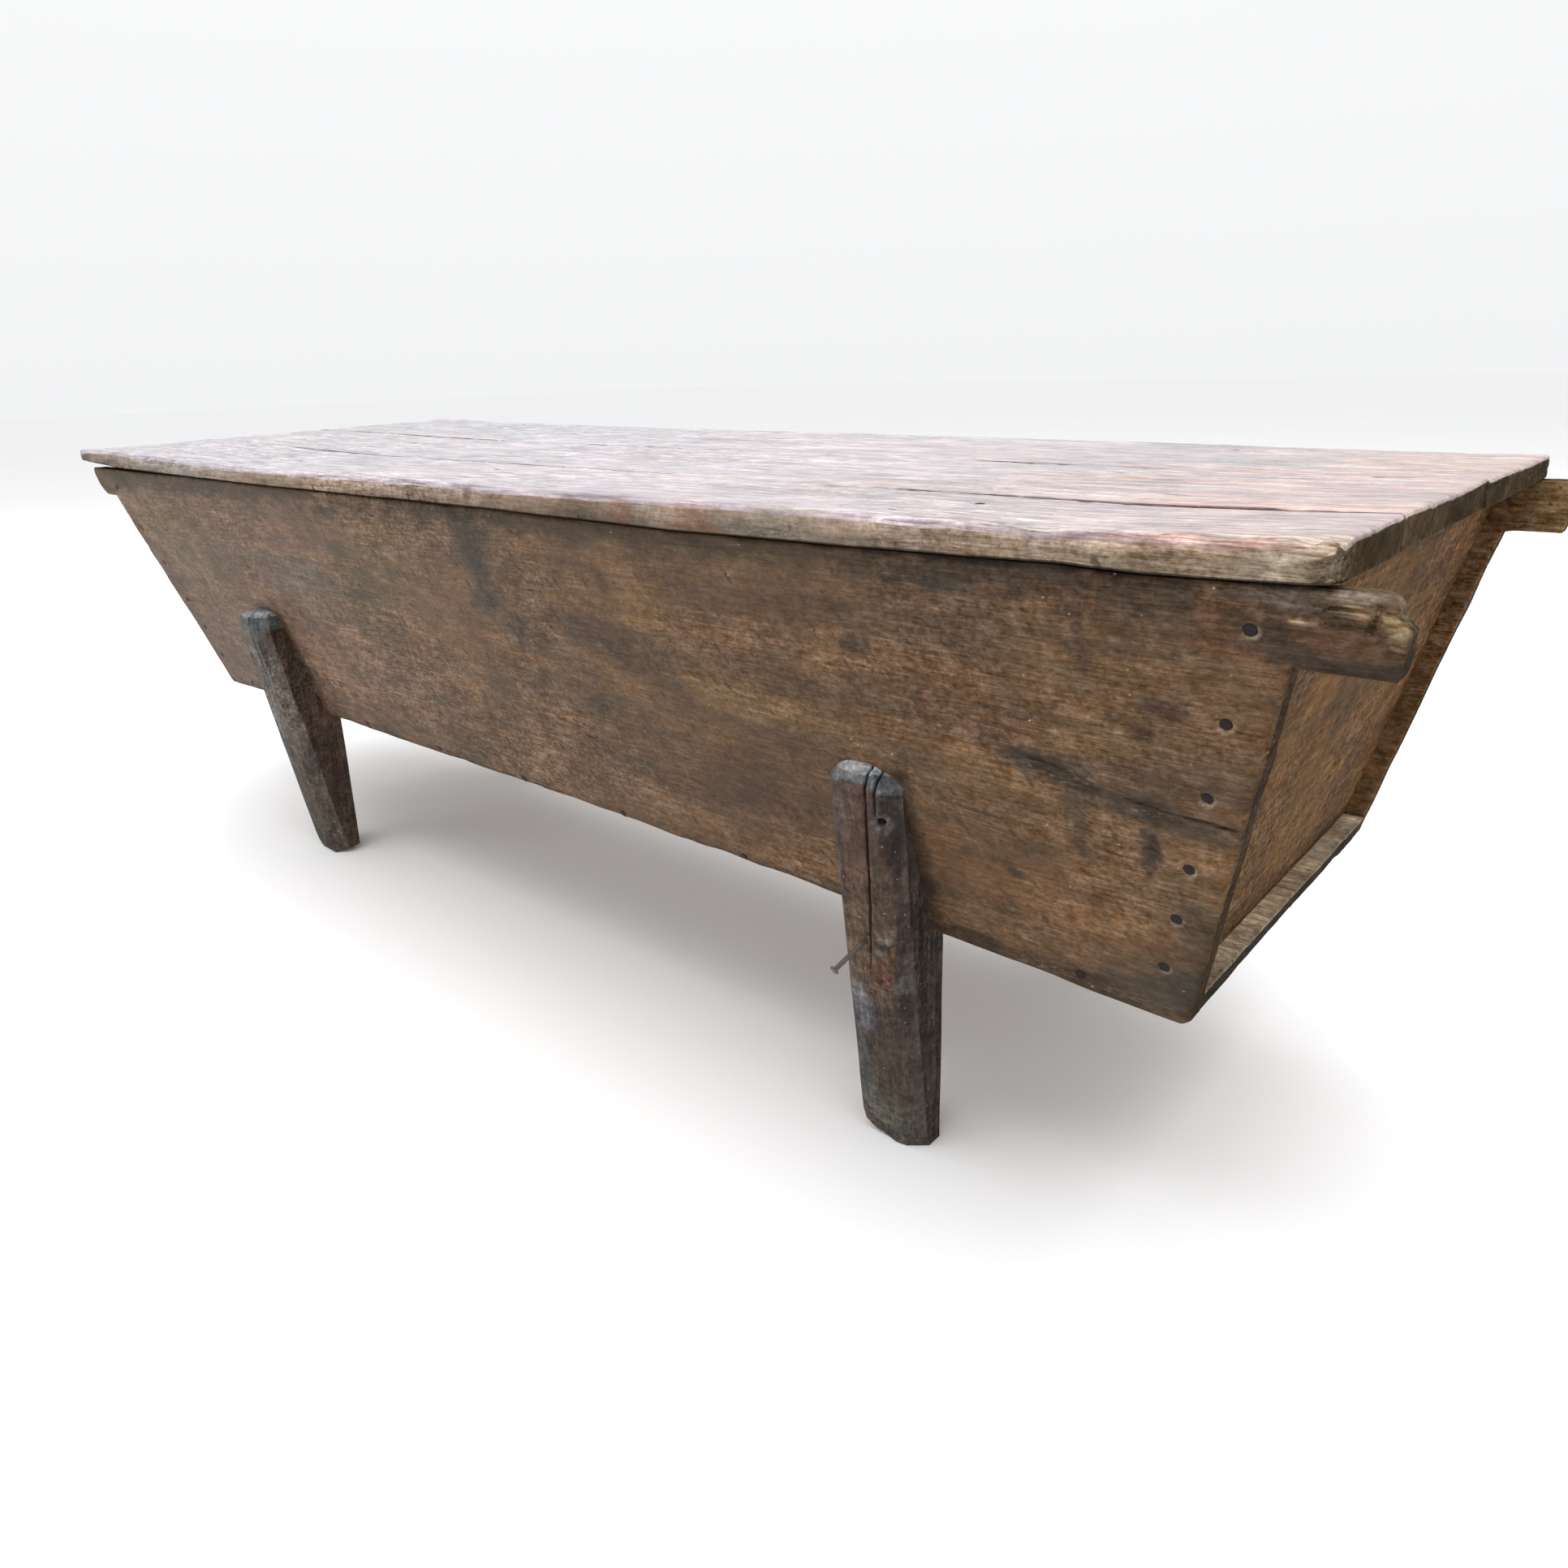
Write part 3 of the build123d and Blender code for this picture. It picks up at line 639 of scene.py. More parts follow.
edgeLook = {
    "oil": (0.95, 0.98, 1.02, 1),
    "streaks": 0.25,
    "fibres": 0.25,
    "speckle": 0.24,
    "grit": 0.34,
    "slitShare": 0.12,
    "wear": 0.0,
    "roughness": (0.85, 0.98),
    "shine": 0.06,
}
battenLook = {
    "grain": "y",
    "oil": (0.8, 0.8, 0.76, 1),
    "slitShare": 0.05,
    "shift": 7.0,
    "roughness": (0.65, 0.85),
}
finishes = {
    "longBoards": oldWood("worn long boards", plainLook),
    "lidPlanks": oldWood("sun-bleached lid planks with painted sheen", {**plainLook, **lidLook}),
    "lidUndersides": oldWood("lid undersides", {**plainLook, **undersideLook}),
    "endBoards": oldWood("warm end boards", {**plainLook, **endLook}),
    "bottomPlanks": oldWood("grey bottom planks", {**plainLook, **bottomLook}),
    "legs": oldWood("weathered legs", {**plainLook, **legLook}),
    "edgeGrain": oldWood("dark edge grain", {**plainLook, **edgeLook}),
    "battens": oldWood("plain battens", {**plainLook, **battenLook}),
}


def oldIron(name, dark, rust, rustShare, metal):
    b = Bench(name)
    where = b.node("ShaderNodeTexCoord").outputs["Object"]
    pits = b.noise(b.stretch(where, (420, 420, 420)), detail=5, rough=0.7)
    bloom = b.noise(b.stretch(where, (110, 110, 110)), detail=7, rough=0.75)
    rusty = b.plus(b.times(bloom, 0.7), b.times(pits, 0.3))
    rusty = b.between(rusty, 0.62 - rustShare, 0.72 - rustShare)
    colour = b.blend(rusty, dark, rust)
    colour = b.blend(b.between(pits, 0.5, 0.7, 0, 0.5), colour, (0.6, 0.55, 0.5, 1), "MULTIPLY")
    values = {
        "Base Color": colour,
        "Roughness": b.between(rusty, 0, 1, 0.45, 0.85),
        "Metallic": b.between(rusty, 0, 1, metal, metal * 0.2),
        "Specular IOR Level": 0.12,
    }
    return b.done(values, pits, 0.6, 0.0005)


finishes["forgedNails"] = oldIron("blackened forged nails", paint(32, 25, 26), paint(50, 41, 38), 0.12, 0.05)
finishes["wireNails"] = oldIron("rusted wire nails", paint(92, 88, 84), paint(98, 70, 52), 0.12, 0.6)
finishes["hinges"] = oldIron("rusted hinge iron", paint(58, 50, 46), paint(92, 64, 47), 0.14, 0.3)
print("finishes mixed")

# The lid lies unevenly: heights of its top and underside above the rim of the trough
lid = {
    "left": -984.0,
    "right": 916.0,
    "frontY": -339.45,
    "backY": 338.95,
    "frontTop": [
        (-984, 25), (-847, 27.5), (-696, 23.6), (-508, 19.6), (-393, 18.6), (-138, 19.4),
        (145, 19.6), (512, 20.8), (750, 21.8), (877, 26), (930, 28.4),
    ],
    "backTop": [(-984, 37.4), (-828, 34), (-447, 29.4), (300, 24.1), (598, 21.6), (863, 19), (930, 19)],
    "frontUnder": [
        (-984, 10.6), (-962, 10), (-823, 2.6), (-563, 0), (-400, -1.2), (141, -2),
        (398, -4.4), (553, -3), (751, 0), (803, -1.4), (902, 1.7), (930, 3.6),
    ],
    "backUnder": [
        (-984, 9), (-828, 6), (-650, 3), (-447, 1.5),
        (300, 0), (598, -1), (863, -2.4), (930, -2.4),
    ],
    "seamOne": ((-984, -136.45), (916, -205.45)),
    "seamTwo": ((-984, 74.95), (916, 46.95)),
}


def seam(line, x):
    return np.interp(x, [p[0] for p in line], [p[1] for p in line])


def overLid(x, y, front, back):
    f = np.interp(x, *zip(*lid[front]))
    g = np.interp(x, *zip(*lid[back]))
    share = np.clip((y - lid["frontY"]) / (lid["backY"] - lid["frontY"]), 0, 1)
    return f * (1 - share) + g * share


def lidTop(x, y):
    return overLid(x, y, "frontTop", "backTop")


def lidUnder(x, y):
    return overLid(x, y, "frontUnder", "backUnder")


def nailHeads(node, out):
    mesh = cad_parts[node].data
    co = np.empty(len(mesh.vertices) * 3)
    mesh.vertices.foreach_get("co", co)
    co = co.reshape(-1, 3) * 1000
    owner = list(range(len(co)))

    def root(k):
        while owner[k] != k:
            owner[k] = owner[owner[k]]
            k = owner[k]
        return k

    tree = kdtree.KDTree(len(co))
    for k, p in enumerate(co):
        tree.insert(p, k)
    tree.balance()
    for edge in mesh.edges:
        owner[root(edge.vertices[0])] = root(edge.vertices[1])
    for k, p in enumerate(co):
        for _, other, _ in tree.find_range(p, 0.01):
            owner[root(k)] = root(other)
    out = np.array(out) / np.linalg.norm(out)
    groups = {}
    for k in range(len(co)):
        groups.setdefault(root(k), []).append(k)
    heads = []
    for members in groups.values():
        pts = co[members]
        level = pts @ out
        top = pts[level > level.max() - 0.1].mean(0)
        heads.append((top, level.max() - level.min()))
    return sorted(heads, key=lambda h: (round(h[0][0]), round(h[0][1]), round(h[0][2])))


slope = math.atan(box["splay"])
frontOut = (0, -math.cos(slope), -math.sin(slope))
backOut = (0, math.cos(slope), -math.sin(slope))


def seats(heads, axes):
    middle = np.array([box["middleX"], box["middleY"], 0])
    return [tuple((top - middle)[list(axes)]) for top, _ in heads]


# Front and back boards
longBoard = {
    "step": 6.0,
    "rowStep": 4.6,
    "rightEar": 49.0,
    "leftEar": 43.0,
    "rightEarEnd": [
        (0, 936), (2, 942), (7, 946), (12, 944), (16, 948.5),
        (20, 952), (28, 951.5), (40, 950), (47, 948.5), (49, 947),
    ],
    "leftEarEnd": [(0, 929), (5, 934), (14, 939), (28, 941), (36, 936), (41, 930), (49, 928)],
    "backEarEnd": [(0, 940), (8, 946), (30, 946), (49, 941)],
    "lowerEdge": [(-830, -5), (-675, 0), (-452, -0.5), (85, 4.5), (455, 3.6), (604, -0.6), (824, -5)],
}


def makeLongBoard(name, side, seed, dentMarks, nailSpots, cracks, earTear, fineRows):
    floor, top = box["floor"], box["top"]
    full = boardEnd(top)
    fineColumns = ((full - 34, 28, 1.9), (-full + 34, 28, 2.4), (770, 66, 2.4))
    body = stations(-full, full, longBoard["step"], fine=fineColumns)
    nailRows = [(height, 8, 1.7) for height in sorted({round(sv) for su, sv in nailSpots if sv > floor + 20})]
    earRows = [top - depth for depth in (longBoard["rightEar"], longBoard["leftEar"], 50.6, 44.6)]
    rows = stations(floor, top, longBoard["rowStep"], fine=(*fineRows, *nailRows), keepers=earRows)
    earSteps = np.concatenate([np.linspace(0.04, 0.96, 26), [0.975, 0.99, 1.0]])

    def unevenEnd(z):
        return boardEnd(z) + 0.9 * ripple(z, z * 0, 34, 10, seed + 3)

    x, z = grid(body, rows)
    x = x / full * unevenEnd(z)
    _, zEar = grid(earSteps, rows)
    endHere = unevenEnd(zEar)
    below = top - zEar
    rightTip = np.interp(below, *zip(*longBoard["rightEarEnd"]))
    leftTip = np.interp(below, *zip(*longBoard["leftEarEnd"]))
    if side > 0:
        rightTip = np.interp(below, *zip(*longBoard["backEarEnd"]))
    right = endHere + earSteps[:, None] * (rightTip - endHere)
    left = -(endHere + earSteps[:, None] * (leftTip - endHere))[::-1]
    u = np.concatenate([left, x, right])
    v = np.concatenate([zEar, z, zEar])
    keep = np.ones((u.shape[0] - 1, u.shape[1] - 1), bool)
    n = len(earSteps)
    middle = (rows[1:] + rows[:-1]) / 2
    keep[:n, :] &= (middle > top - longBoard["leftEar"])[None, :]
    keep[-n:, :] &= (middle > top - longBoard["rightEar"])[None, :]
    # undersides of the ears run into the end of the board in a small curve
    for half, depth in ((slice(0, n), longBoard["leftEar"]), (slice(-n, None), longBoard["rightEar"])):
        row = np.argmin(abs(rows - (top - depth)))
        out = abs(abs(u[half, row]) - boardEnd(rows[row]))
        v[half, row] -= 2.5 * np.exp(-out / 5)
    rise = np.interp(u, *zip(*longBoard["lowerEdge"])) + 0.8 * ripple(u, v * 0, 45, 10, seed)
    rise = rise + 6 * easing((abs(u) - 813) / 11) ** 2
    v = v + rise * np.clip((300 - v) / 72, 0, 1)
    sag = np.minimum(lidUnder(u, side * 339.0), 0) - 0.3
    sag = sag + 0.5 * ripple(u, v * 0, 60, 10, seed + 1) * (abs(u) > 925)
    v = v + sag * np.clip((v - 520) / 66, 0, 1)

    def face(u, v, d):
        radius = 3.2 + 2.2 * easing(0.5 + ripple(u, v, 40, 40, seed + 7))
        onEar = easing((abs(u) - 893) / 18) * easing((v - top + 58) / 8)
        radius = radius * (1 - onEar) + (1.3 + 1.2 * easing((v - top + 36) / 12)) * onEar
        h = -edgeDrop(d, radius)
        h = h + 1.1 * ripple(u, v, 230, 95, seed + 8) + 0.45 * ripple(u, v, 60, 22, seed + 9)
        h = h + 0.2 * ripple(u, v, 16, 7, seed + 10)
        h = h - 0.9 * np.maximum(ripple(u, v, 11, 12, seed + 11) - 0.62, 0) * 4 * np.exp(-d / 18)
        cut = dents(u, v, dentMarks)
        crack = deepest(u, v, cracks, seed + 12)
        tear = np.zeros_like(u)
        if earTear:
            below = top - v
            bevel = easing((u - 862) / 34) * np.maximum(7.5 - below, 0) * 0.95
            step = easing((u - 908) / 5) * easing((21 + 0.1 * (u - 908) - below) / 2.5)
            step = step * easing((below - 7) / 2)
            tear = bevel + step * (3.0 + 2.2 * ripple(u, v, 30, 2.4, seed + 13))
            notch = np.exp(-(((u - 934 + 0.25 * (below - 14)) / 3.0) ** 2))
            notch = notch * easing((24 - below) / 4) * easing((below - 4) / 3)
            tear = np.maximum(tear, 9 * notch)
            splinter = easing((u - 936) / 3) * easing((36 - below) / 5) * easing((below - 15) / 4)
            tear = tear + splinter * (2.6 + 2.6 * ripple(u, v, 5, 3, seed + 14))
        h = sink(u, v, h - np.maximum(cut, crack) - tear, nailSpots, -1.9)
        return h, np.clip(crack / 3.5, 0, 0.9) + np.clip(cut / 9, 0, 0.3)

    def inside(u, v, d):
        h = -box["sideAcross"] + edgeDrop(d, 2.2) + 0.5 * ripple(u, v, 180, 70, seed + 20)
        return h, 0.05 + 0.25 * easing((262 - v) / 14)

    def place(u, v, h):
        return onSite(u, side * (outerFace(v) + h), v)

    piece, spots = slab(name, u, v, face, inside, place, keep=keep, seed=seed + 30)
    dress(piece, name, "trough", "long_boards", "longBoards", "edgeGrain")
    return piece, spots


frontCorner = nailHeads("front_corner_nails", frontOut)
frontBottom = nailHeads("front_bottom_nails", frontOut)
backCorner = nailHeads("back_corner_nails", backOut)
backBottom = nailHeads("back_bottom_nails", backOut)
# place along the board, depth below the rim, half width, half height, lean, how deep
frontDents = belowRim(
    [
        (740, 160, 46, 9, -13, 3.0),
        (702, 150, 26, 6, -10, 2.2),
        (750, 190, 6, 20, 4, 1.4),
        (810, 172, 17, 9, -10, 2.2),
        (802, 204, 6, 24, -6, 2.0),
        (822, 88, 14, 5, -12, 1.4),
        (804, 112, 6, 5, 0, 2.2),
        (688, 262, 8, 4, 0, 1.6),
        (762, 262, 8, 4, 0, 1.6),
        (790, 262, 12, 3, -8, 1.6),
        (806, 280, 12, 3, -10, 1.6),
        (762, 50, 4, 30, 0, 1.0),
        (283, 59, 10, 12, 0, 1.0),
        (574, 85, 10, 7, 0, 1.2),
        (-640, 236, 12, 6, 20, 1.2),
        (120, 210, 12, 5, 30, 1.1),
        (424, 215, 14, 5, 15, 1.2),
        (-90, 300, 16, 6, -8, 1.4),
        (640, 345, 34, 7, 0, 2.4),
        (742, 349, 30, 8, 0, 2.8),
        (330, 349, 24, 6, 0, 1.8),
        (20, 352, 20, 5, 0, 1.6),
    ]
)
# points along a crack, half width, how deep
frontCracks = [
    (belowRim([(762, 161), (800, 168), (838, 171), (868, 171.5), (880, 171)]), 0.9, 2.6),
    (belowRim([(690, 148), (720, 151), (760, 160)]), 1.2, 2.0),
    (belowRim([(-820, 64), (-700, 66), (-600, 70)]), 1.0, 1.2),
]
frontBoard, frontSpots = makeLongBoard(
    "front_board",
    -1,
    100,
    frontDents,
    seats(frontCorner + frontBottom, (0, 2)),
    frontCracks,
    True,
    ((rim - 168, 9, 1.4), (rim - 21, 19, 1.7)),
)
backDents = belowRim(
    [
        (-300, 120, 60, 8, 12, 2.4),
        (420, 240, 40, 7, -8, 2.0),
        (90, 60, 20, 6, 0, 1.8),
        (-640, 300, 30, 8, 5, 2.0),
        (700, 345, 40, 7, 0, 2.4),
    ]
)
backCracks = [
    (belowRim([(-930, 190), (-780, 186), (-560, 193), (-420, 190)]), 1.5, 6.0),
    (belowRim([(520, 88), (700, 92), (910, 86)]), 1.4, 4.0),
]
backBoard, backSpots = makeLongBoard(
    "back_board",
    1,
    160,
    backDents,
    seats(backCorner + backBottom, (0, 2)),
    backCracks,
    False,
    ((rim - 189, 6, 1.6), (rim - 89, 6, 1.6)),
)

# place along the board, depth below the rim, half width, half height, lean, colour, strength
frontStainsAndShadows = belowRim(
    [
        (-760, 93, 130, 60, -8, (131, 118, 102), 0.7),
        (-700, 160, 110, 60, 0, (126, 111, 102), 0.6),
        (-560, 150, 140, 50, 0, (128, 112, 99), 0.6),
        (-300, 262, 260, 60, 0, (131, 114, 106), 0.7),
        (-600, 280, 160, 60, 0, (122, 108, 100), 0.6),
        (-361, 142, 92, 52, 10, (110, 103, 101), 0.85),
        (-189, 118, 80, 70, 12, (97, 90, 79), 0.75),
        (-33, 200, 120, 40, 0, (116, 97, 82), 0.6),
        (-90, 60, 60, 36, 0, (118, 103, 88), 0.5),
        (120, 290, 180, 50, 0, (116, 98, 86), 0.6),
        (212, 171, 90, 34, 0, (126, 104, 84), 0.7),
        (274, 128, 110, 26, -10, (92, 78, 70), 0.75),
        (334, 82, 44, 22, 0, (128, 106, 82), 0.85),
        (453, 80, 70, 24, 0, (119, 97, 81), 0.6),
        (433, 110, 70, 16, -8, (95, 78, 66), 0.6),
        (464, 157, 90, 20, -3, (121, 97, 74), 0.7),
        (517, 132, 60, 12, -4, (90, 73, 60), 0.7),
        (541, 84, 12, 52, 0, (119, 97, 77), 0.6),
        (574, 85, 16, 10, 0, (84, 72, 65), 0.8),
        (560, 40, 60, 30, 0, (92, 76, 62), 0.5),
        (616, 156, 60, 12, -6, (119, 94, 70), 0.8),
        (690, 156, 80, 12, -6, (116, 92, 69), 0.7),
        (660, 114, 70, 22, -4, (99, 74, 57), 0.75),
        (600, 220, 120, 40, 0, (113, 92, 73), 0.6),
        (687, 270, 120, 46, 0, (116, 91, 70), 0.6),
        (383, 253, 130, 50, 0, (106, 86, 72), 0.6),
        (819, 240, 60, 40, 0, (121, 99, 78), 0.7),
        (760, 90, 60, 34, 0, (108, 88, 68), 0.5),
        (800, 74, 34, 26, 0, (110, 87, 65), 0.6),
        (868, 33, 26, 20, 0, (120, 84, 60), 0.7),
        (777, 20, 40, 10, 0, (86, 63, 48), 0.7),
        (708, 21, 22, 8, 0, (96, 70, 52), 0.8),
        (654, 23, 22, 5, 0, (52, 54, 42), 0.85),
        (762, 50, 7, 36, 0, (80, 62, 54), 0.75),
        (748, 44, 4, 26, 0, (88, 70, 58), 0.6),
        (88, 26, 34, 26, 0, (68, 62, 58), 0.85),
        (82, 64, 22, 40, 8, (76, 70, 67), 0.85),
        (76, 100, 34, 26, -20, (82, 75, 73), 0.85),
        (112, 128, 40, 22, -24, (86, 77, 73), 0.8),
        (165, 150, 60, 18, -20, (92, 81, 76), 0.6),
        (283, 59, 12, 14, 0, (86, 69, 58), 0.7),
        (735, 158, 58, 13, -13, (72, 64, 60), 0.85),
        (700, 150, 40, 8, -10, (70, 60, 56), 0.7),
        (748, 192, 9, 34, 3, (84, 74, 68), 0.8),
        (810, 172, 34, 12, -8, (64, 56, 52), 0.8),
        (850, 176, 34, 8, -4, (70, 62, 58), 0.6),
        (802, 204, 8, 28, -6, (62, 55, 50), 0.85),
        (822, 90, 18, 7, -12, (84, 66, 56), 0.8),
        (804, 112, 10, 8, 0, (76, 62, 55), 0.7),
        (690, 262, 12, 6, 0, (72, 58, 48), 0.75),
        (640, 352, 60, 9, 0, (66, 54, 46), 0.8),
        (742, 350, 80, 12, 0, (68, 56, 48), 0.85),
        (800, 338, 40, 18, 0, (70, 66, 62), 0.8),
        (840, 286, 26, 44, 0, (78, 71, 64), 0.7),
        (826, 330, 26, 26, 0, (66, 63, 60), 0.8),
        (400, 352, 160, 9, 0, (80, 68, 62), 0.6),
        (-200, 356, 400, 7, 0, (88, 80, 78), 0.6),
        # dark bands just under the rim: painted shadow of the lid, the two widest over some real staining
        (-500, 8, 460, 20, 0, (70, 62, 53), 0.75),
        (300, 8, 480, 20, 0, (66, 56, 48), 0.75),
        (700, 6, 220, 12, 0, (62, 50, 42), 0.6),
        (650, 1, 330, 5, 0.4, (30, 24, 21), 0.95),
        (-100, 0, 900, 3, 0, (36, 30, 26), 0.9),
        (-840, 10, 70, 26, 0, (72, 66, 52), 0.7),
        # painted shadow of each leg on the board beside it
        (596, 268, 13, 84, 3, (52, 40, 34), 0.75),
        (-486, 262, 12, 86, 3, (78, 62, 54), 0.7),
        (905, 26, 56, 30, 0, (66, 55, 46), 0.85),
        (926, 45, 44, 7, 0, (58, 52, 50), 0.85),
        (920, 29, 26, 8, 0, (96, 70, 54), 0.7),
        (918, 3, 38, 4.2, 0, (142, 136, 136), 0.8),
        (886, 8, 22, 3, -8, (104, 98, 100), 0.6),
        (933, 12, 12, 4.5, -6, (170, 152, 130), 0.85),
        (946, 19, 7, 9, 20, (156, 141, 120), 0.8),
        (900, 20, 8, 1.6, 3, (170, 152, 138), 0.8),
        (-915, 22, 34, 26, 0, (92, 82, 66), 0.8),
        (-870, 110, 14, 60, -13, (86, 78, 72), 0.6),
        (-830, 250, 20, 90, -13, (92, 82, 78), 0.6),
        (143, 231, 70, 34, -10, (129, 105, 89), 0.6),
        (435, 161, 72, 19, -8, (136, 113, 88), 0.75),
        (308, 271, 60, 22, -8, (92, 76, 66), 0.7),
        (410, 90, 70, 22, 0, (120, 96, 80), 0.6),
        (655, 142, 44, 13, -6, (96, 74, 57), 0.6),
        (764, 122, 34, 20, 0, (121, 99, 75), 0.65),
        (672, 182, 36, 14, -6, (124, 101, 79), 0.65),
        (-310, 262, 90, 30, 0, (126, 112, 106), 0.5),
    ]
)
insideStains = belowRim(
    [
        (858, 176, 27, 250, -13, (115, 93, 75), 0.95),
        (-858, 176, 27, 250, 13, (115, 93, 75), 0.95),
        (-400, 180, 380, 120, 0, (150, 132, 108), 0.5),
        (350, 140, 420, 90, 0, (156, 140, 116), 0.5),
        (0, 330, 900, 40, 0, (104, 88, 70), 0.6),
    ]
)
longGround = [
    (-905, (113, 98, 92)),
    (-400, (115, 98, 93)),
    (100, (112, 95, 82)),
    (450, (106, 87, 71)),
    (905, (103, 84, 67)),
]
frontCrumbs = belowRim(
    [
        (930, 12, 17, 7, 0.6),
        (946, 20, 8, 10, 0.8),
        (740, 160, 36, 6, 0.6),
        (808, 172, 22, 5, 0.45),
        (742, 351, 70, 7, 0.35),
        (-922, 44, 16, 8, 0.5),
        (878, 170, 10, 20, 0.6),
    ]
)
coat(
    frontBoard,
    frontSpots,
    longGround,
    frontStainsAndShadows,
    (134, 116, 92),
    insideStains,
    (66, 55, 45),
    belowRim([(935, 8, 34, 10, 0, (104, 92, 74), 0.9), (942, 38, 30, 16, 0, (56, 49, 40), 0.9)]),
    frontCrumbs,
    seats(frontCorner, (0, 2)),
    seed=11,
)
backStains = belowRim(
    [
        (-500, 120, 260, 70, 4, (124, 112, 100), 0.7),
        (200, 200, 300, 60, -3, (98, 84, 70), 0.7),
        (600, 90, 180, 60, 0, (120, 104, 86), 0.6),
        (-700, 300, 160, 50, 0, (94, 86, 78), 0.7),
        (500, 320, 300, 30, 0, (76, 66, 58), 0.7),
        (-200, 350, 400, 12, 0, (70, 62, 56), 0.7),
        (0, 6, 800, 16, 0, (70, 60, 52), 0.6),
        (-100, 150, 60, 60, 20, (84, 78, 76), 0.7),
        (800, 200, 60, 90, 0, (96, 80, 64), 0.6),
    ]
)
coat(backBoard, backSpots, longGround, backStains, (128, 112, 90), insideStains, (70, 59, 47), seed=31)
print("long boards made")

# Lid planks
lidPlank = {"step": 6.0, "rowStep": 5.5, "endRadius": 3.0, "gap": 1.0, "openGap": 2.6}
battenNails = nailHeads("batten_nails", (0, 0, 1))


def roundedCorner(u, v, cornerU, cornerV, size, much):
    su, sv = math.copysign(1, cornerU), math.copysign(1, cornerV)
    p = np.clip((size - abs(cornerU - u)) / size, 0, 1)
    q = np.clip((size - abs(cornerV - v)) / size, 0, 1)
    newP, newQ = p * np.sqrt(1 - much * q * q / 2), q * np.sqrt(1 - much * p * p / 2)
    return u - su * (p - newP) * size, v - sv * (q - newQ) * size


def onRim(u, v, h):
    return onSite(u, v, h + box["top"])


def makeLidPlank(name, low, high, seed, nicks, cracks, radii, ends):
    atFront = name == "lid_front_plank"
    left, right = lid["left"] + ends[0], lid["right"] + ends[1]
    columns = stations(left, right, lidPlank["step"], fine=((right - 18, 16, 2.6),))
    width = float(np.mean(high(columns) - low(columns)))
    closeRows = ((11, 9, 1.7),) if atFront else ()
    rows = stations(0, width, lidPlank["rowStep"], fine=closeRows) / width
    u, share = grid(columns, rows)
    v = low(u) + share * (high(u) - low(u))
    u = u + 0.8 * ripple(v, u * 0, 22, 10, seed) * np.clip(1 - np.minimum(u - left, right - u) / 20, 0, 1)
    if atFront:
        u, v = roundedCorner(u, v, right, lid["frontY"], 17, 0.7)
        u, v = roundedCorner(u, v, left, lid["frontY"], 22, 0.6)

    def upper(u, v, d):
        toLow, toHigh = v - low(u), high(u) - v
        radius = np.where(toLow < toHigh, radii[0], radii[1])
        toEnd = np.minimum(u - left, right - u)
        radius = np.where(toEnd < np.minimum(toLow, toHigh), lidPlank["endRadius"], radius)
        radius = radius * (0.85 + 0.22 * ripple(u, v, 33, 33, seed + 2))
        h = lidTop(u, v) - edgeDrop(d, radius)
        share = (v - low(u)) / (high(u) - low(u))
        h = h + 1.1 * (share - 0.5) ** 2 * 4 - 0.6
        h = h + 0.8 * ripple(u, v, 210, 70, seed + 4) + 0.3 * ripple(u, v, 50, 14, seed + 5)
        h = h + 0.12 * ripple(u, v, 18, 6, seed + 6)
        chip = np.maximum(ripple(u, v, 9, 7, seed + 7) - 0.5, 0) * 2.6 * np.exp(-d / 5)
        if atFront:
            corner = np.hypot(u - right, v - lid["frontY"])
            chip = chip + 2.8 * easing((30 - corner) / 22) * (0.8 + 0.8 * ripple(u, v, 7, 6, seed + 8))
            rough = np.maximum(0.4 + ripple(u, v, 12, 5, seed + 9), 0) * 1.7
            chip = chip + easing((u - 690) / 120) * np.exp(-toLow / 9) * rough
        cut = dents(u, v, nicks)
        crack = deepest(u, v, cracks, seed + 12)
        h = sink(u, v, h - chip - np.maximum(cut, crack), lidNails, lidTop(u, v) - 2.2)
        return h, np.clip(crack / 4, 0, 0.8) + np.clip(cut / 8, 0, 0.3)

    def under(u, v, d):
        radius = 1.1 + 0.4 * ripple(u, v, 40, 40, seed + 15)
        h = lidUnder(u, v) + edgeDrop(d, radius) + 0.25 * (1 + ripple(u, v, 90, 40, seed + 16))
        outer = np.minimum(np.minimum(u - left, right - u), np.minimum(v - lid["frontY"], lid["backY"] - v))
        # the underside is darkened towards its outer edges: a painted shadow along the lid's rim
        return h, 0.05 + 0.85 * easing((12 - outer) / 10) - 0.2 * easing((1.5 - d) / 1.5)

    piece, spots = slab(name, u, v, upper, under, onRim, wallRows=6, rough=0.5, backSkin=2, seed=seed + 40)
    dress(piece, name, "lid", "lid_planks", "lidPlanks", "edgeGrain", "lidUndersides")
    return piece, spots


def openSeam(x):
    opened = lidPlank["openGap"] * easing((x - 380) / 260)
    return lidPlank["gap"] + opened + 0.25 * ripple(x, x * 0, 40, 10, 3)


def frontLine(x):
    return lid["frontY"] + 1.0 * ripple(x, x * 0, 70, 10, 61) + 0.5 * ripple(x, x * 0, 17, 10, 62)


def backLine(x):
    return np.full_like(x, lid["backY"] - 0.3)


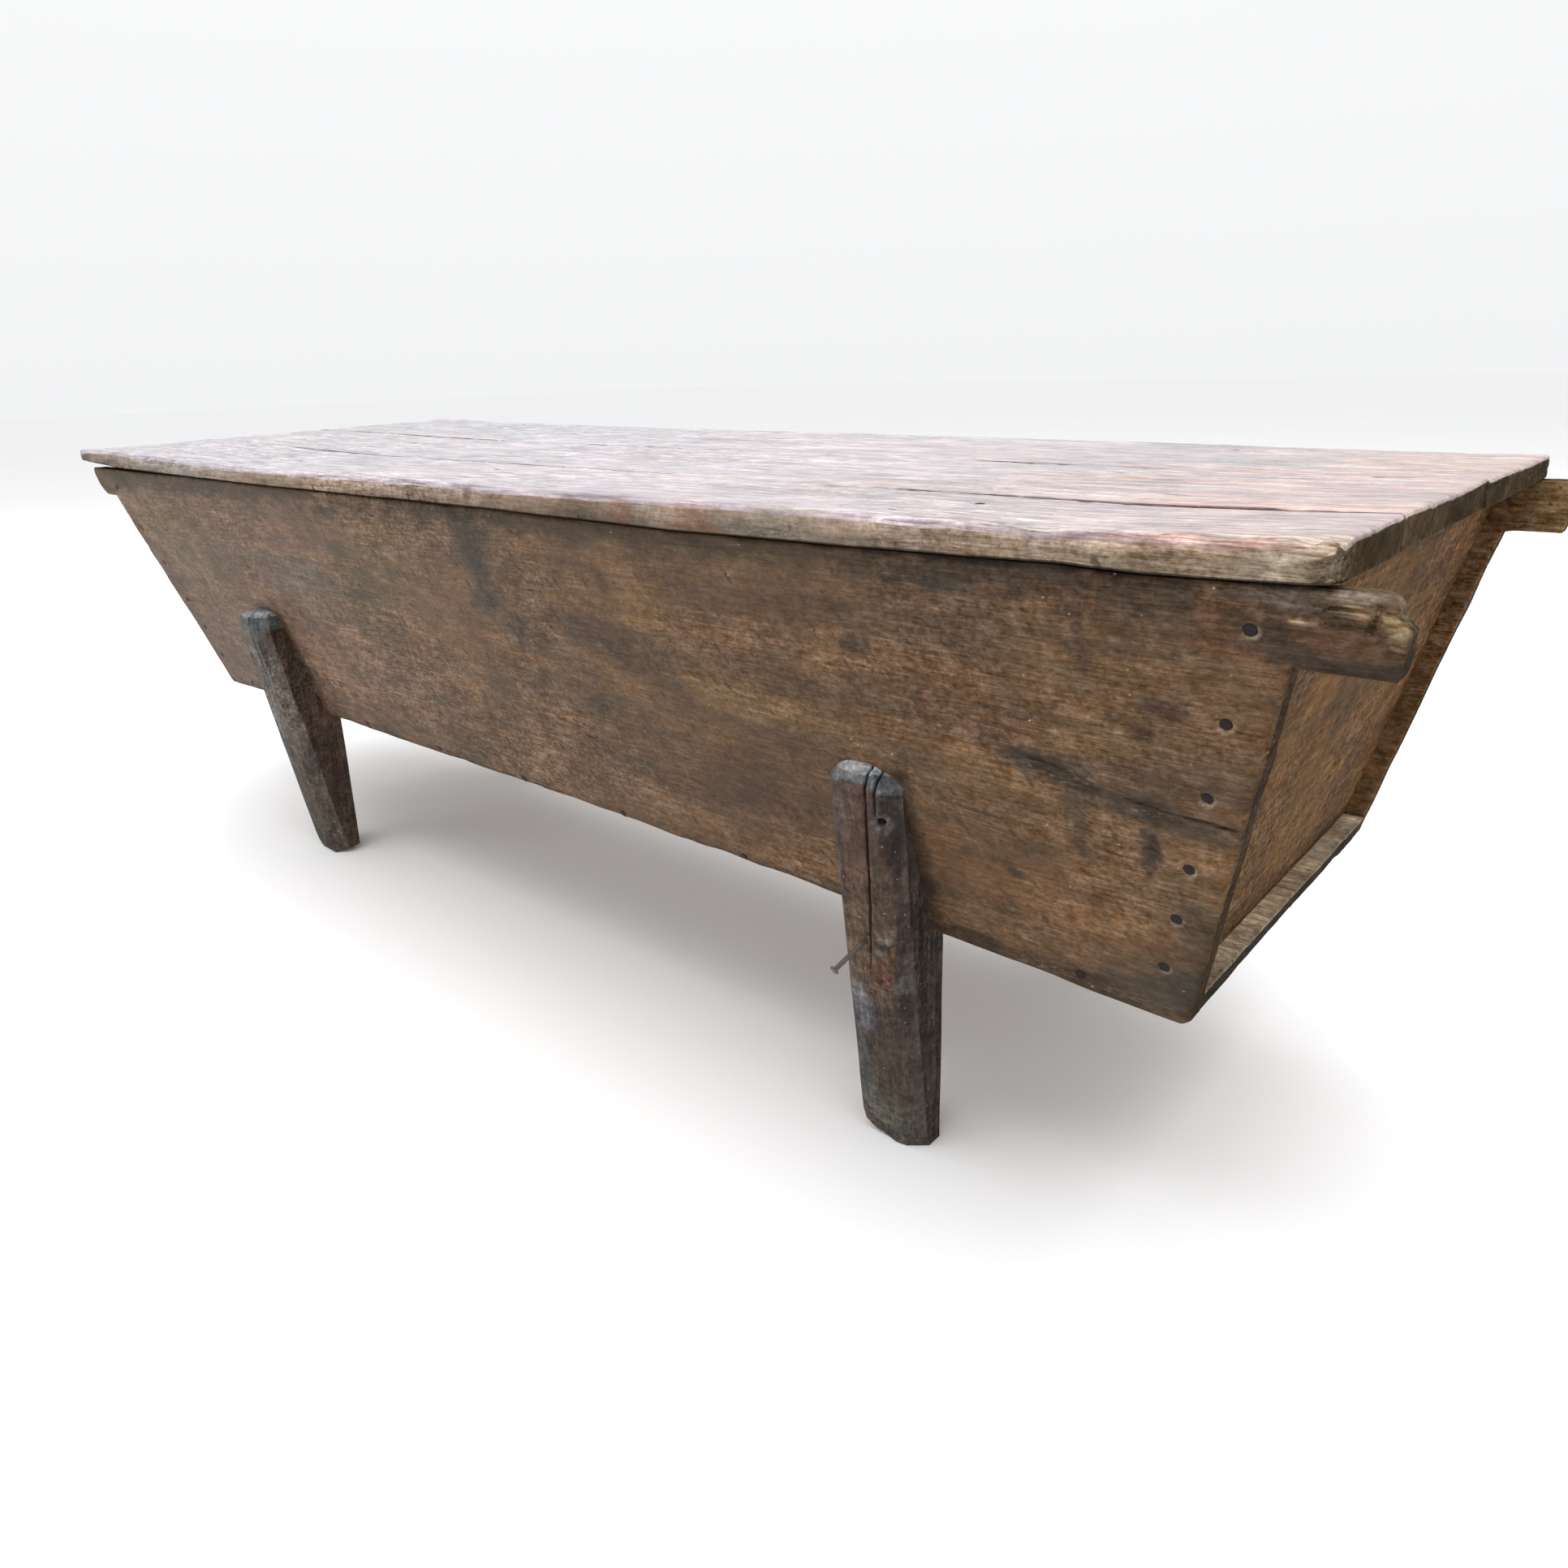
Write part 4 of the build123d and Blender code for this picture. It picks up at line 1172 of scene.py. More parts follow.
lidNails = seats(battenNails, (0, 1))
frontNicks = [
    (736, -336, 16, 8, 0, 1.8),
    (714, -330, 10, 4, 30, 1.2),
    (110, -338, 6, 9, 0, 2.2),
    (522, -338, 30, 6, 0, 1.2),
    (852, -336, 18, 8, 0, 2.2),
    (-420, -338, 12, 5, 0, 1.4),
    (-700, -338, 9, 4, 0, 1.4),
    (300, -338, 10, 5, 0, 1.2),
    (600, -338, 8, 5, 0, 1.2),
    (-140, -300, 12, 3, 4, 1.0),
    (430, -260, 16, 3, -3, 1.0),
]
frontPlank, frontPlankSpots = makeLidPlank(
    "lid_front_plank",
    frontLine,
    lambda x: seam(lid["seamOne"], x) - openSeam(x),
    300,
    frontNicks,
    [
        (((-560, -250), (-380, -252), (-240, -249)), 1.2, 1.6),
        (((380, -232), (470, -231), (560, -233)), 1.2, 2.0),
    ],
    (6.5, 1.6),
    (0.0, 0.0),
)
middlePlank, middlePlankSpots = makeLidPlank(
    "lid_middle_plank",
    lambda x: seam(lid["seamOne"], x) + 0.6,
    lambda x: seam(lid["seamTwo"], x) - 0.8,
    360,
    [
        (464, -196, 12, 7, 0, 1.6),
        (-200, -60, 16, 3, 5, 1.2),
        (250, 20, 10, 3, 0, 1.0),
        (700, -40, 24, 4, 3, 1.2),
    ],
    [(((-760, -20), (-600, -23), (-430, -19)), 1.2, 1.8), (((560, -96), (700, -99), (880, -104)), 1.2, 1.8)],
    (1.5, 1.5),
    (1.5, -1.2),
)
backPlank, backPlankSpots = makeLidPlank(
    "lid_back_plank",
    lambda x: seam(lid["seamTwo"], x) + 0.8,
    backLine,
    420,
    [(602, 170, 30, 18, 0, 1.0), (-400, 200, 18, 4, 0, 1.4), (100, 130, 12, 4, 8, 1.2)],
    [(((-300, 190), (-80, 193), (150, 188)), 1.3, 2.2)],
    (1.5, 3.2),
    (-1.0, 0.6),
)
lidStains = [
    (602, 170, 130, 70, 0, (150, 146, 150), 0.75),
    (450, 120, 120, 50, 0, (156, 146, 148), 0.5),
    (737, -37, 150, 30, 3, (168, 134, 124), 0.6),
    (780, 60, 120, 40, 0, (172, 142, 130), 0.5),
    (700, -120, 200, 16, 2, (162, 130, 124), 0.5),
    (820, -180, 100, 40, 0, (164, 132, 124), 0.55),
    (840, 200, 80, 60, 0, (168, 142, 128), 0.5),
    (666, -32, 12, 6, 0, (170, 110, 80), 0.8),
    (464, -200, 16, 9, 0, (120, 100, 96), 0.8),
    (500, -240, 120, 10, 0, (146, 128, 130), 0.5),
    (371, -118, 130, 24, 0, (160, 146, 148), 0.5),
    (210, -60, 160, 22, 4, (164, 148, 150), 0.5),
    (-100, 40, 260, 40, 0, (152, 146, 152), 0.5),
    (-300, -220, 260, 30, 0, (150, 144, 150), 0.45),
    (0, -150, 200, 24, 0, (158, 146, 148), 0.4),
    (-600, -60, 220, 60, 0, (156, 152, 158), 0.5),
    (-700, 200, 200, 70, 0, (150, 148, 156), 0.5),
    (-300, 220, 300, 50, 0, (158, 152, 158), 0.4),
    (-850, -200, 90, 90, 0, (150, 146, 152), 0.5),
]
edgeStains = [
    (110, -340, 7, 12, 0, (104, 86, 80), 0.8),
    (340, -340, 14, 5, 0, (158, 116, 96), 0.5),
    (426, -340, 24, 5, 0, (158, 118, 100), 0.5),
    (522, -339, 42, 6, 0, (166, 152, 140), 0.7),
    (736, -339, 22, 7, 0, (150, 142, 138), 0.8),
    (852, -337, 60, 8, 0, (176, 134, 114), 0.75),
    (908, -334, 22, 14, 0, (158, 142, 120), 0.8),
]
edgeWallStains = [
    (-930, -340, 90, 12, 0, (124, 114, 104), 0.8),
    (-620, -340, 200, 12, 0, (158, 146, 136), 0.8),
    (-100, -340, 220, 12, 0, (150, 128, 112), 0.6),
    (110, -340, 7, 12, 0, (84, 66, 58), 0.9),
    (200, -340, 120, 12, 0, (138, 114, 96), 0.7),
    (340, -340, 16, 12, 0, (148, 108, 84), 0.55),
    (426, -340, 30, 12, 0, (144, 106, 84), 0.6),
    (508, -340, 26, 12, 0, (154, 138, 122), 0.6),
    (552, -340, 26, 12, 0, (142, 124, 110), 0.7),
    (627, -340, 50, 12, 0, (134, 114, 98), 0.7),
    (700, -340, 30, 12, 0, (140, 118, 94), 0.6),
    (800, -340, 44, 12, 0, (180, 156, 132), 0.85),
    (848, -340, 26, 12, 0, (170, 146, 122), 0.7),
    (882, -340, 18, 12, 0, (126, 112, 94), 0.8),
    (900, -336, 24, 14, 0, (176, 160, 138), 0.85),
    (918, -190, 20, 300, 0, (76, 63, 48), 0.95),
    (-984, -100, 20, 230, 0, (88, 75, 60), 0.95),
]
# the lid's pale top tone: sun-bleached wood, and partly a painted sheen of the sky
bleachedWithPaintedSheen = [
    (-984, (160, 154, 158)),
    (-300, (164, 157, 161)),
    (300, (164, 154, 157)),
    (620, (162, 149, 150)),
    (916, (164, 144, 138)),
]
lidCrumbs = [
    (912, -335, 26, 16, 0.6),
    (850, -339, 70, 5, 0.3),
    (736, -338, 22, 6, 0.6),
    (522, -339, 36, 5, 0.7),
    (-975, -337, 16, 9, 0.5),
]


# The ends and outer edges of the lid are browner than its top, which is bleached and also painted pale as a
# painted sky sheen
def brownRims(piece, spots, seed):
    raw = readTint(piece)
    colour = raw[:, :3]
    u, v, layer = spots["u"], spots["v"], spots["layer"]
    depth = lidTop(u, v) - spots["h"]
    ends = np.minimum(u - lid["left"], lid["right"] - u)
    outer = np.minimum(ends, lid["backY"] - v)
    fromFront = v - lid["frontY"]
    share = easing((depth - 1.5) / 3) * (layer < 2) * easing((14 - outer) / 8) * easing((fromFront - 12) / 12)
    brown = tone(72, 60, 46) * (1 + 0.3 * ripple(u + v, spots["h"], 18, 8, seed))[:, None]
    colour = mixed(colour, brown, share)
    facing = (0.75 - 0.5 * easing((u - 800) / 30)) * (layer == 0) * (fromFront < 14)
    facing = facing * easing((depth - 3.0 - 0.9 * ripple(u, v, 26, 9, seed + 1)) / 4)
    warm = 0.5 + 0.5 * ripple(u, v * 0, 46, 10, seed + 2)[:, None]
    colour = mixed(colour, tone(128, 98, 82) * warm + tone(116, 103, 90) * (1 - warm), facing)
    frontEdge = (fromFront < 14) * easing((depth - 2) / 3)
    colour = colour * (1 + frontEdge * (0.24 - 0.54 * easing((depth - 4) / 19)))[:, None]  # lighter near the top of the edge, darker towards its bottom
    lip = 0.85 * easing((1.7 - spots["d"]) / 1.2) * (layer == 0) * (outer > 3) * (fromFront > 12)
    colour = mixed(colour, tone(58, 44, 46), lip)
    seamWall = (layer == 1) & (outer > 14) & (fromFront > 12)
    raw[:, :3] = np.where(seamWall[:, None], tone(34, 24, 24), colour)
    writeTint(piece, raw)


madePlanks = ((frontPlank, frontPlankSpots), (middlePlank, middlePlankSpots), (backPlank, backPlankSpots))
for k, (piece, spots) in enumerate(madePlanks):
    atFront = piece is frontPlank
    coat(
        piece,
        spots,
        bleachedWithPaintedSheen,
        lidStains + (edgeStains if atFront else []),
        (122, 104, 84),
        [(0, 0, 700, 160, 0, (140, 122, 98), 0.5)],
        (146, 127, 110) if atFront else (78, 65, 50),
        edgeWallStains if atFront else (),
        lidCrumbs if atFront else (),
        wear=0.9,
        seed=51,
    )
    brownRims(piece, spots, 70 + k)
print("lid planks made")

# End boards
endBoard = {"step": 6.0, "rowStep": 6.0, "drop": 1.0}


def makeEndBoard(name, side, seed, marks, cracks):
    low, high = box["floor"] + box["bottomThickness"], box["top"] - endBoard["drop"]
    rows = stations(low, high, endBoard["rowStep"])
    half = outerFace(high) - box["sideAcross"]
    share, v = grid(stations(-half, half, endBoard["step"]) / half, rows)
    u = share * (outerFace(v) - box["sideAcross"] + 0.6)
    sag = np.minimum(lidUnder(side * 890.0, u), 0) - 0.2
    v = v + sag * np.clip((v - 540) / 46, 0, 1)

    def outer(u, v, d):
        h = -edgeDrop(d, 1.6) + 0.8 * ripple(u, v, 150, 60, seed) + 0.35 * ripple(u, v, 40, 14, seed + 1)
        crack = deepest(u, v, cracks, seed + 2)
        cut = dents(u, v, marks)
        corner = 0.35 * easing((9 - d) / 9)
        return h - np.maximum(cut, crack), np.clip(crack / 4, 0, 0.85) + np.clip(cut / 5, 0, 0.6) + corner

    def inner(u, v, d):
        h = -box["endAcross"] + edgeDrop(d, 1.6) + 0.4 * ripple(u, v, 120, 60, seed + 5)
        return h, 0.25 * easing((9 - d) / 9)

    def place(u, v, h):
        return onSite(side * (boardEnd(v) - box["endSetback"] + h), u, v)

    piece, spots = slab(name, u, v, outer, inner, place, seed=seed + 9)
    dress(piece, name, "trough", "end_boards", "endBoards", "endBoards")
    return piece, spots


rightEnd, rightEndSpots = makeEndBoard(
    "right_end_board",
    1,
    500,
    belowRim([(40, 232, 3, 22, -8, 4.0), (-80, 170, 20, 5, 30, 1.4)]),
    [(belowRim([(-300, 120), (-100, 122), (80, 118)]), 1.4, 2.0)],
)
leftEnd, leftEndSpots = makeEndBoard(
    "left_end_board",
    -1,
    540,
    belowRim([(-60, 200, 24, 6, 20, 1.8)]),
    [(belowRim([(-120, 160), (60, 163), (290, 158)]), 1.5, 4.0)],
)
endGround = [(-320, (99, 76, 57)), (0, (103, 80, 61)), (320, (98, 74, 54))]
endStains = belowRim(
    [
        (-60, 150, 90, 18, 48, (92, 68, 48), 0.6),
        (30, 117, 120, 16, 50, (78, 64, 54), 0.6),
        (120, 190, 110, 12, 52, (118, 92, 66), 0.6),
        (0, 260, 120, 14, 46, (120, 96, 72), 0.6),
        (-120, 90, 100, 12, 50, (116, 90, 68), 0.6),
        (200, 80, 100, 16, 50, (108, 80, 58), 0.6),
        (184, 250, 60, 30, 0, (84, 60, 42), 0.5),
        (-30, 325, 200, 12, 0, (88, 70, 54), 0.7),
        (-150, 250, 40, 60, 0, (112, 88, 66), 0.5),
        (0, 8, 300, 16, 0, (70, 56, 44), 0.6),
    ]
)
endInside = belowRim([(0, 330, 300, 30, 0, (100, 84, 66), 0.6)])
mirrored = [(-u, *rest) for u, *rest in endStains]
coat(rightEnd, rightEndSpots, endGround, endStains, (122, 110, 98), endInside, seed=71)
coat(leftEnd, leftEndSpots, endGround, mirrored, (122, 110, 98), endInside, seed=81)
print("end boards made")


# Bottom planks, seen from above as the ledge outside each end board
bottomPlank = {
    "step": 8.0,
    "rowStep": 7.0,
    "seam": 0.5,
    "across": 213.4,
    "acrossBelow": 207.0,
    "flare": 6.3,
    "endFlare": 4.85,
}


def makeBottomPlank(name, side, seed):
    half = box["bottomHalf"] + bottomPlank["endFlare"]
    columns = stations(-half, half, bottomPlank["step"])
    u, v = grid(columns, side * stations(bottomPlank["seam"], bottomPlank["across"], bottomPlank["rowStep"]))
    u = u + 0.7 * ripple(v, u * 0, 18, 10, seed) * (abs(u) > 810)

    def topSide(u, v, d):
        h = box["bottomThickness"] - edgeDrop(d, 2.6) + 0.5 * ripple(u, v, 160, 50, seed + 1)
        return h - 0.7, 0.1 + 0.35 * easing((6 - d) / 6)

    def underSide(u, v, d):
        bow = np.interp(u, *zip(*longBoard["lowerEdge"])) * easing((abs(v) - 120) / 90)
        h = edgeDrop(d, 2.0) + 0.3 + np.maximum(bow, -2.0) + 0.4 * ripple(u, v, 120, 50, seed + 2)
        return h, np.full_like(u, 0.12)

    def place(u, v, h):
        share = np.clip(h / box["bottomThickness"], 0, 1)
        reach = abs(v) / bottomPlank["across"] * (bottomPlank["acrossBelow"] + bottomPlank["flare"] * share)
        end = u * (box["bottomHalf"] + bottomPlank["endFlare"] * share) / half
        return onSite(end, side * reach, h + box["floor"])

    piece, spots = slab(name, u, v, topSide, underSide, place, seed=seed + 9)
    dress(piece, name, "trough", "bottom_planks", "bottomPlanks", "edgeGrain")
    ground = [(-826, (126, 112, 94)), (826, (126, 112, 94))]
    ledge = [
        (828, side * 60, 30, 300, 0, (154, 140, 122), 0.8),
        (-828, side * 60, 30, 300, 0, (146, 134, 118), 0.8),
    ]
    coat(piece, spots, ground, ledge, (104, 90, 76), wall=(62, 56, 50), seed=seed)


makeBottomPlank("front_bottom_plank", -1, 600)
makeBottomPlank("back_bottom_plank", 1, 640)
print("bottom made")

# Legs
leg = {
    "half": 34.0,
    "height": 394.0,
    "chamfer": 9.0,
    "footOut": 245.0,
    "shoulderOut": 293.7,
    "back": 210.0,
    "capHeight": 15.0,
    "capSide": 15.0,
    "step": 2.6,
    "rowStep": 4.2,
}
frontRight = {
    "x": 558.0,
    "lean": 7.3,
    "foot": [(-34, 20), (-28, 13), (-20, 5), (-12, 1.5), (0, 0), (34, 0)],
    "cracks": [
        [(396, 8.5), (380, 8), (340, 6), (300, 4), (262, 2), (226, -1), (190, -4)],
        [(396, 18), (372, 16.5), (350, 16), (335, 16)],
    ],
    "dents": [
        (18.5, 347, 4.6, 4.8, 0, 8.0),
        (-14, 132, 16, 26, 8, 0.8),
        (22, 70, 10, 22, 0, 1.0),
        (-28, 300, 5, 16, 0, 1.2),
        (15, 224, 4, 3, 0, 1.0),
    ],
}
frontLeft = {
    "x": -524.0,
    "lean": 10.0,
    "foot": [(-34, 3), (-20, 0), (10, 0), (24, 2), (34, 9)],
    "cracks": [[(388, 6), (340, 4), (300, 6), (250, 3)]],
    "dents": [(-20, 210, 6, 24, 0, 1.4), (10, 120, 12, 20, 0, 1.2), (26, 330, 5, 14, 0, 1.0)],
}


def makeLeg(name, side, one, seed):
    lean = math.tan(math.radians(one["lean"]))
    fineRows = ((224, 8, 1.6), (348, 8, 1.6), (378, 14, 1.5))
    shoulder = (box["floor"] - 0.3, box["floor"] + 0.3)
    rows = stations(0, leg["height"], leg["rowStep"], fineRows, shoulder, rim=(0, 1, 3, 6, 10, 14))
    fineColumns = ((3, 9, 0.62), (17, 4.5, 0.7))
    columns = stations(-leg["half"], leg["half"], leg["step"], fineColumns, rim=(0, 1, 3, 5, 7, 9, 12, 14))
    u, v = grid(columns, rows)
    rise = np.interp(u, *zip(*one["foot"]))
    rise = rise + 1.2 * (1 + ripple(u, v * 0, 6, 10, seed)) * (rise > 1)
    v = rise + v * (leg["height"] - rise) / leg["height"]
    near = np.clip((v - leg["height"] + leg["capHeight"]) / leg["capHeight"], 0, 1)
    u = u * (1 - leg["capSide"] / leg["half"] * near**1.8)
    u = u * (1 - 0.02 * easing((60 - v) / 60)) + 0.7 * ripple(v, u * 0, 60, 10, seed + 1)

    def front(u, v, d):
        width = leg["half"] - leg["capSide"] * np.clip((v - 379) / 15, 0, 1) ** 1.8
        chamfer = np.where(u > 0, leg["chamfer"] + 8, leg["chamfer"] - 2)
        out = np.maximum(abs(u) - (width - chamfer), 0)
        facet = out * (0.85 + 0.1 * ripple(v, u * 0, 130, 10, seed + 2))
        h = leg["footOut"] + v * lean - facet - edgeDrop(d, 0.9)
        slant = 0.25 * abs(u + 6)
        cap = np.maximum(v - (leg["height"] - 14 - slant), 0) * 0.4
        cap = cap + np.maximum(v - (leg["height"] - 7), 0) * 0.95
        h = h - np.minimum(cap, 13)
        h = h - 1.6 * easing((24 - v) / 24) * (1 + ripple(u, v, 12, 9, seed + 3))
        h = h + 0.5 * ripple(u, v, 30, 90, seed + 4) + 0.3 * ripple(u, v, 7, 26, seed + 5)
        crack = np.zeros_like(u)
        for line in one["cracks"]:
            heights = sorted(line)
            middle = np.interp(v, *zip(*heights)) + 0.5 * ripple(v, v * 0, 14, 10, seed + 6)
            reach = np.clip((v - heights[0][0]) / 40, 0, 1) * np.clip((heights[-1][0] + 8 - v) / 6, 0, 1)
            crack = np.maximum(crack, 7 * reach * np.exp(-(((u - middle) / (0.6 + 0.3 * reach)) ** 2)))
        cut = dents(u, v, one["dents"])
        h = np.maximum(h - np.maximum(cut, crack), backFace(v) + 1.5)
        return h, np.clip(crack / 5, 0, 0.95) + np.clip((cut - 2) / 5, 0, 0.9)

    def backFace(v):
        return np.where(v < box["floor"], leg["back"], outerFace(v) - 1.4)

    def back(u, v, d):
        return backFace(v) + edgeDrop(d, 1.2) * (v < box["floor"]), np.full_like(u, 0.15)

    def place(u, v, h):
        return onSite(u + one["x"], side * h, v)

    piece, spots = slab(name, u, v, front, back, place, wallRows=7, rough=0.0, crease=20, seed=seed + 9)
    dress(piece, name, "trough", "legs", "legs", "legs")
    return piece, spots


def coatLeg(piece, spots, stainsAndShade, seed, ground, side, pale):
    # the side walls take the darker flank colour: painted shade on the leg's sides
    coat(piece, spots, [(-34, ground), (34, ground)], stainsAndShade, ground, wall=side, wear=0.8, seed=seed)
    raw = readTint(piece)
    below = leg["height"] - spots["v"] + 1.2 * ripple(spots["u"], spots["v"], 9, 9, seed + 60)
    slant = 0.25 * abs(spots["u"] + 6)
    seen = (spots["layer"] < 2).astype(float)
    lower = seen * easing((14 + slant - below) / 2)
    upper = seen * easing((7.5 - below) / 1.6)
    # the cap's bevels get bright and dim copies of one pale weathered colour: painted light on the upper
    # bevel, painted shade on the lower
    for share, shade in ((lower, 0.17), (upper, 0.52)):
        uneven = 1 + 0.15 * ripple(spots["u"], spots["v"], 12, 6, seed + 61)
        target = tone(*pale) * shade * uneven[:, None]
        raw[:, :3] = mixed(raw[:, :3], target, 0.9 * share)
    writeTint(piece, raw)


rightLegStainsAndShade = [
    (0, 320, 24, 60, 0, (82, 62, 54), 0.8),
    (-22, 345, 12, 24, 0, (88, 74, 72), 0.6),
    (2, 240, 26, 60, 0, (100, 80, 66), 0.8),
    (-30, 260, 5, 110, 0, (104, 96, 90), 0.6),
    # painted shade on the right-hand chamfer, darkest near its top
    (29, 200, 8, 190, 0, (58, 49, 44), 0.8),
    (27, 345, 9, 46, 0, (44, 37, 34), 0.8),
    (10, 70, 34, 90, 0, (64, 56, 48), 0.75),
    (-17, 142, 12, 26, 12, (118, 118, 124), 0.9),
    (-24, 92, 9, 22, 0, (92, 96, 96), 0.7),
    (6, 190, 14, 14, 0, (92, 60, 50), 0.6),
    (26, 186, 7, 12, 0, (92, 92, 86), 0.8),
    (6, 110, 22, 40, 0, (74, 64, 58), 0.6),
    (-20, 60, 12, 30, 8, (84, 86, 86), 0.6),
    (8, 28, 26, 22, 0, (84, 82, 74), 0.7),
    (19, 347, 8, 8, 0, (128, 122, 118), 0.8),
    (15, 229, 6, 5, 0, (150, 142, 132), 0.7),
]
leftLegStains = [
    (0, 366, 24, 12, 0, (112, 112, 112), 0.7),
    (0, 280, 34, 90, 0, (110, 105, 102), 0.8),
    (-20, 200, 8, 60, 0, (124, 122, 120), 0.7),
    (10, 180, 10, 80, 0, (84, 76, 70), 0.6),
    (0, 110, 34, 60, 0, (88, 80, 72), 0.7),
    (0, 20, 34, 30, 0, (64, 56, 48), 0.7),
]
backLegStains = [
    (0, 200, 30, 110, 0, (90, 78, 68), 0.6),
    (-14, 300, 12, 50, 0, (104, 92, 80), 0.6),
    (0, 15, 34, 26, 0, (74, 70, 62), 0.7),
]
rightBack = {
    "x": frontRight["x"],
    "lean": math.degrees(math.atan((leg["shoulderOut"] - leg["footOut"]) / leg["height"])),
    "foot": [(-34, 0), (20, 0), (34, 5)],
    "cracks": [[(396, 6), (350, 8), (280, 5), (150, 7)]],
    "dents": [(-10, 180, 12, 20, 0, 1.4)],
}
leftBack = {**frontLeft, "foot": [(-34, 6), (-20, 0), (34, 0)], "dents": [(12, 260, 10, 24, 0, 1.4)]}
# name, side, settings, stains and shade, seed, front colour, side colour painted darker as shade, cap colour
for name, side, one, stainsAndShade, seed, ground, shadedFlank, pale in (
    ("front_right_leg", -1, frontRight, rightLegStainsAndShade, 700, (83, 70, 63), (74, 66, 61), (212, 218, 226)),
    ("front_left_leg", -1, frontLeft, leftLegStains, 730, (92, 84, 79), (84, 71, 64), (226, 236, 242)),
    ("back_right_leg", 1, rightBack, backLegStains, 760, (84, 72, 62), (64, 54, 48), (150, 146, 144)),
    ("back_left_leg", 1, leftBack, backLegStains, 790, (82, 72, 64), (64, 54, 48), (150, 146, 144)),
):
    made, madeSpots = makeLeg(name, side, one, seed)
    coatLeg(made, madeSpots, stainsAndShade, seed, ground, shadedFlank, pale)
print("legs made")


# Battens under the lid
batten = {"half": 36.0, "halfLength": 293.7, "thickness": 22.0, "bevel": 6.0, "step": 4.0, "rowStep": 8.0}


def makeBatten(name, x, seed):
    half, reach = batten["half"], batten["halfLength"]
    u, v = grid(stations(-half, half, batten["step"]), stations(-reach, reach, batten["rowStep"]))
    u = x + u
    u = u + 0.8 * ripple(v, u * 0, 70, 10, seed)

    def top(u, v, d):
        return lidUnder(u, v) + 0.1, np.full_like(u, 0.1)

    def bottom(u, v, d):
        bevel = np.maximum(batten["bevel"] - d, 0) * 0.9
        h = -batten["thickness"] + bevel + 0.7 * ripple(u, v, 30, 120, seed + 1) + 0.5
        return h + np.maximum(lidUnder(u, v), 0) * 0.5, 0.05 + 0.1 * easing((5 - d) / 5)

    piece, spots = slab(name, u, v, top, bottom, onRim, seed=seed + 9)
    dress(piece, name, "lid", "battens", "battens", "battens")
    ground = [(x - half, (120, 102, 82)), (x + half, (112, 94, 76))]
    coat(piece, spots, ground, (), (118, 100, 80), wall=(104, 88, 70), seed=seed)


makeBatten("left_batten", -684.0, 800)
makeBatten("middle_batten", -34.0, 830)
makeBatten("right_batten", 616.0, 860)
print("battens made")


# Forged nails: a hammered, slightly lopsided head on a square tapering shank
nail = {
    "headRadius": 4.5,
    "headHeight": 1.5,
    "crown": ((0.3, 0.0), (0.72, -0.15), (0.95, -0.55), (1.0, -1.0), (0.8, -1.5)),
    "shank": 3.6,
    "points": 14,
    "lidThickness": 24.0,
    "driven": 0.8,
}


def forgeNails(name, node, out, body, lift):
    rng = np.random.default_rng(len(name) * 17 + 3)
    out = Vector(out).normalized()
    side = out.orthogonal().normalized()
    other = out.cross(side)
    points, faces = [], []
    for top, length in nailHeads(node, out):
        tipped = Vector(top) + out * lift(top)

        def square(half, depth):
            corners = ((1, 1), (-1, 1), (-1, -1), (1, -1))
            points.extend(tipped + side * (a * half) + other * (b * half) - out * depth for a, b in corners)
            return list(range(len(points) - 4, len(points)))

        turn = rng.uniform(0, 6.28)
        stretch = rng.uniform(0.86, 1.08)
        rings = []
        for share, height in nail["crown"]:
            ring = []
            for k in range(nail["points"]):
                angle = turn + 2 * math.pi * k / nail["points"]
                r = nail["headRadius"] * share * (1 + rng.uniform(-0.07, 0.07))
                offset = side * (math.cos(angle) * r * stretch) + other * (math.sin(angle) * r)
                ring.append(len(points))
                points.append(tipped + offset + out * (height + rng.uniform(-0.12, 0.12)))
            rings.append(ring)
        crown = len(points)
        points.append(tipped + out * 0.1)
        for k in range(nail["points"]):
            n = (k + 1) % nail["points"]
            faces.append((crown, rings[0][k], rings[0][n]))
            for upper, lower in zip(rings, rings[1:]):
                faces.append((upper[k], lower[k], lower[n], upper[n]))
        faces.append(tuple(reversed(rings[-1])))
        shaft = [
            square(nail["shank"] / 2, nail["headHeight"] - 0.3),
            square(nail["shank"] / 2.4, length * 0.7),
            square(0.5, length - 0.5),
        ]
        faces.append(tuple(shaft[0]))
        for upper, lower in zip(shaft, shaft[1:]):
            for k in range(4):
                n = (k + 1) % 4
                faces.append((upper[k], lower[k], lower[n], upper[n]))
        faces.append(tuple(reversed(shaft[-1])))
    mesh = bpy.data.meshes.new(name)
    mesh.from_pydata([tuple(p * 0.001) for p in points], [], faces)
    mesh.shade_smooth()
    mesh.set_sharp_from_angle(angle=math.radians(50))
    piece = bpy.data.objects.new(name, mesh)
    scene.collection.objects.link(piece)
    dress(piece, node, body, "forged_nails", "forgedNails")


def lidLift(top):
    x, y = top[0] - box["middleX"], top[1] - box["middleY"]
    return float(lidTop(x, y)) - nail["lidThickness"] - nail["driven"]


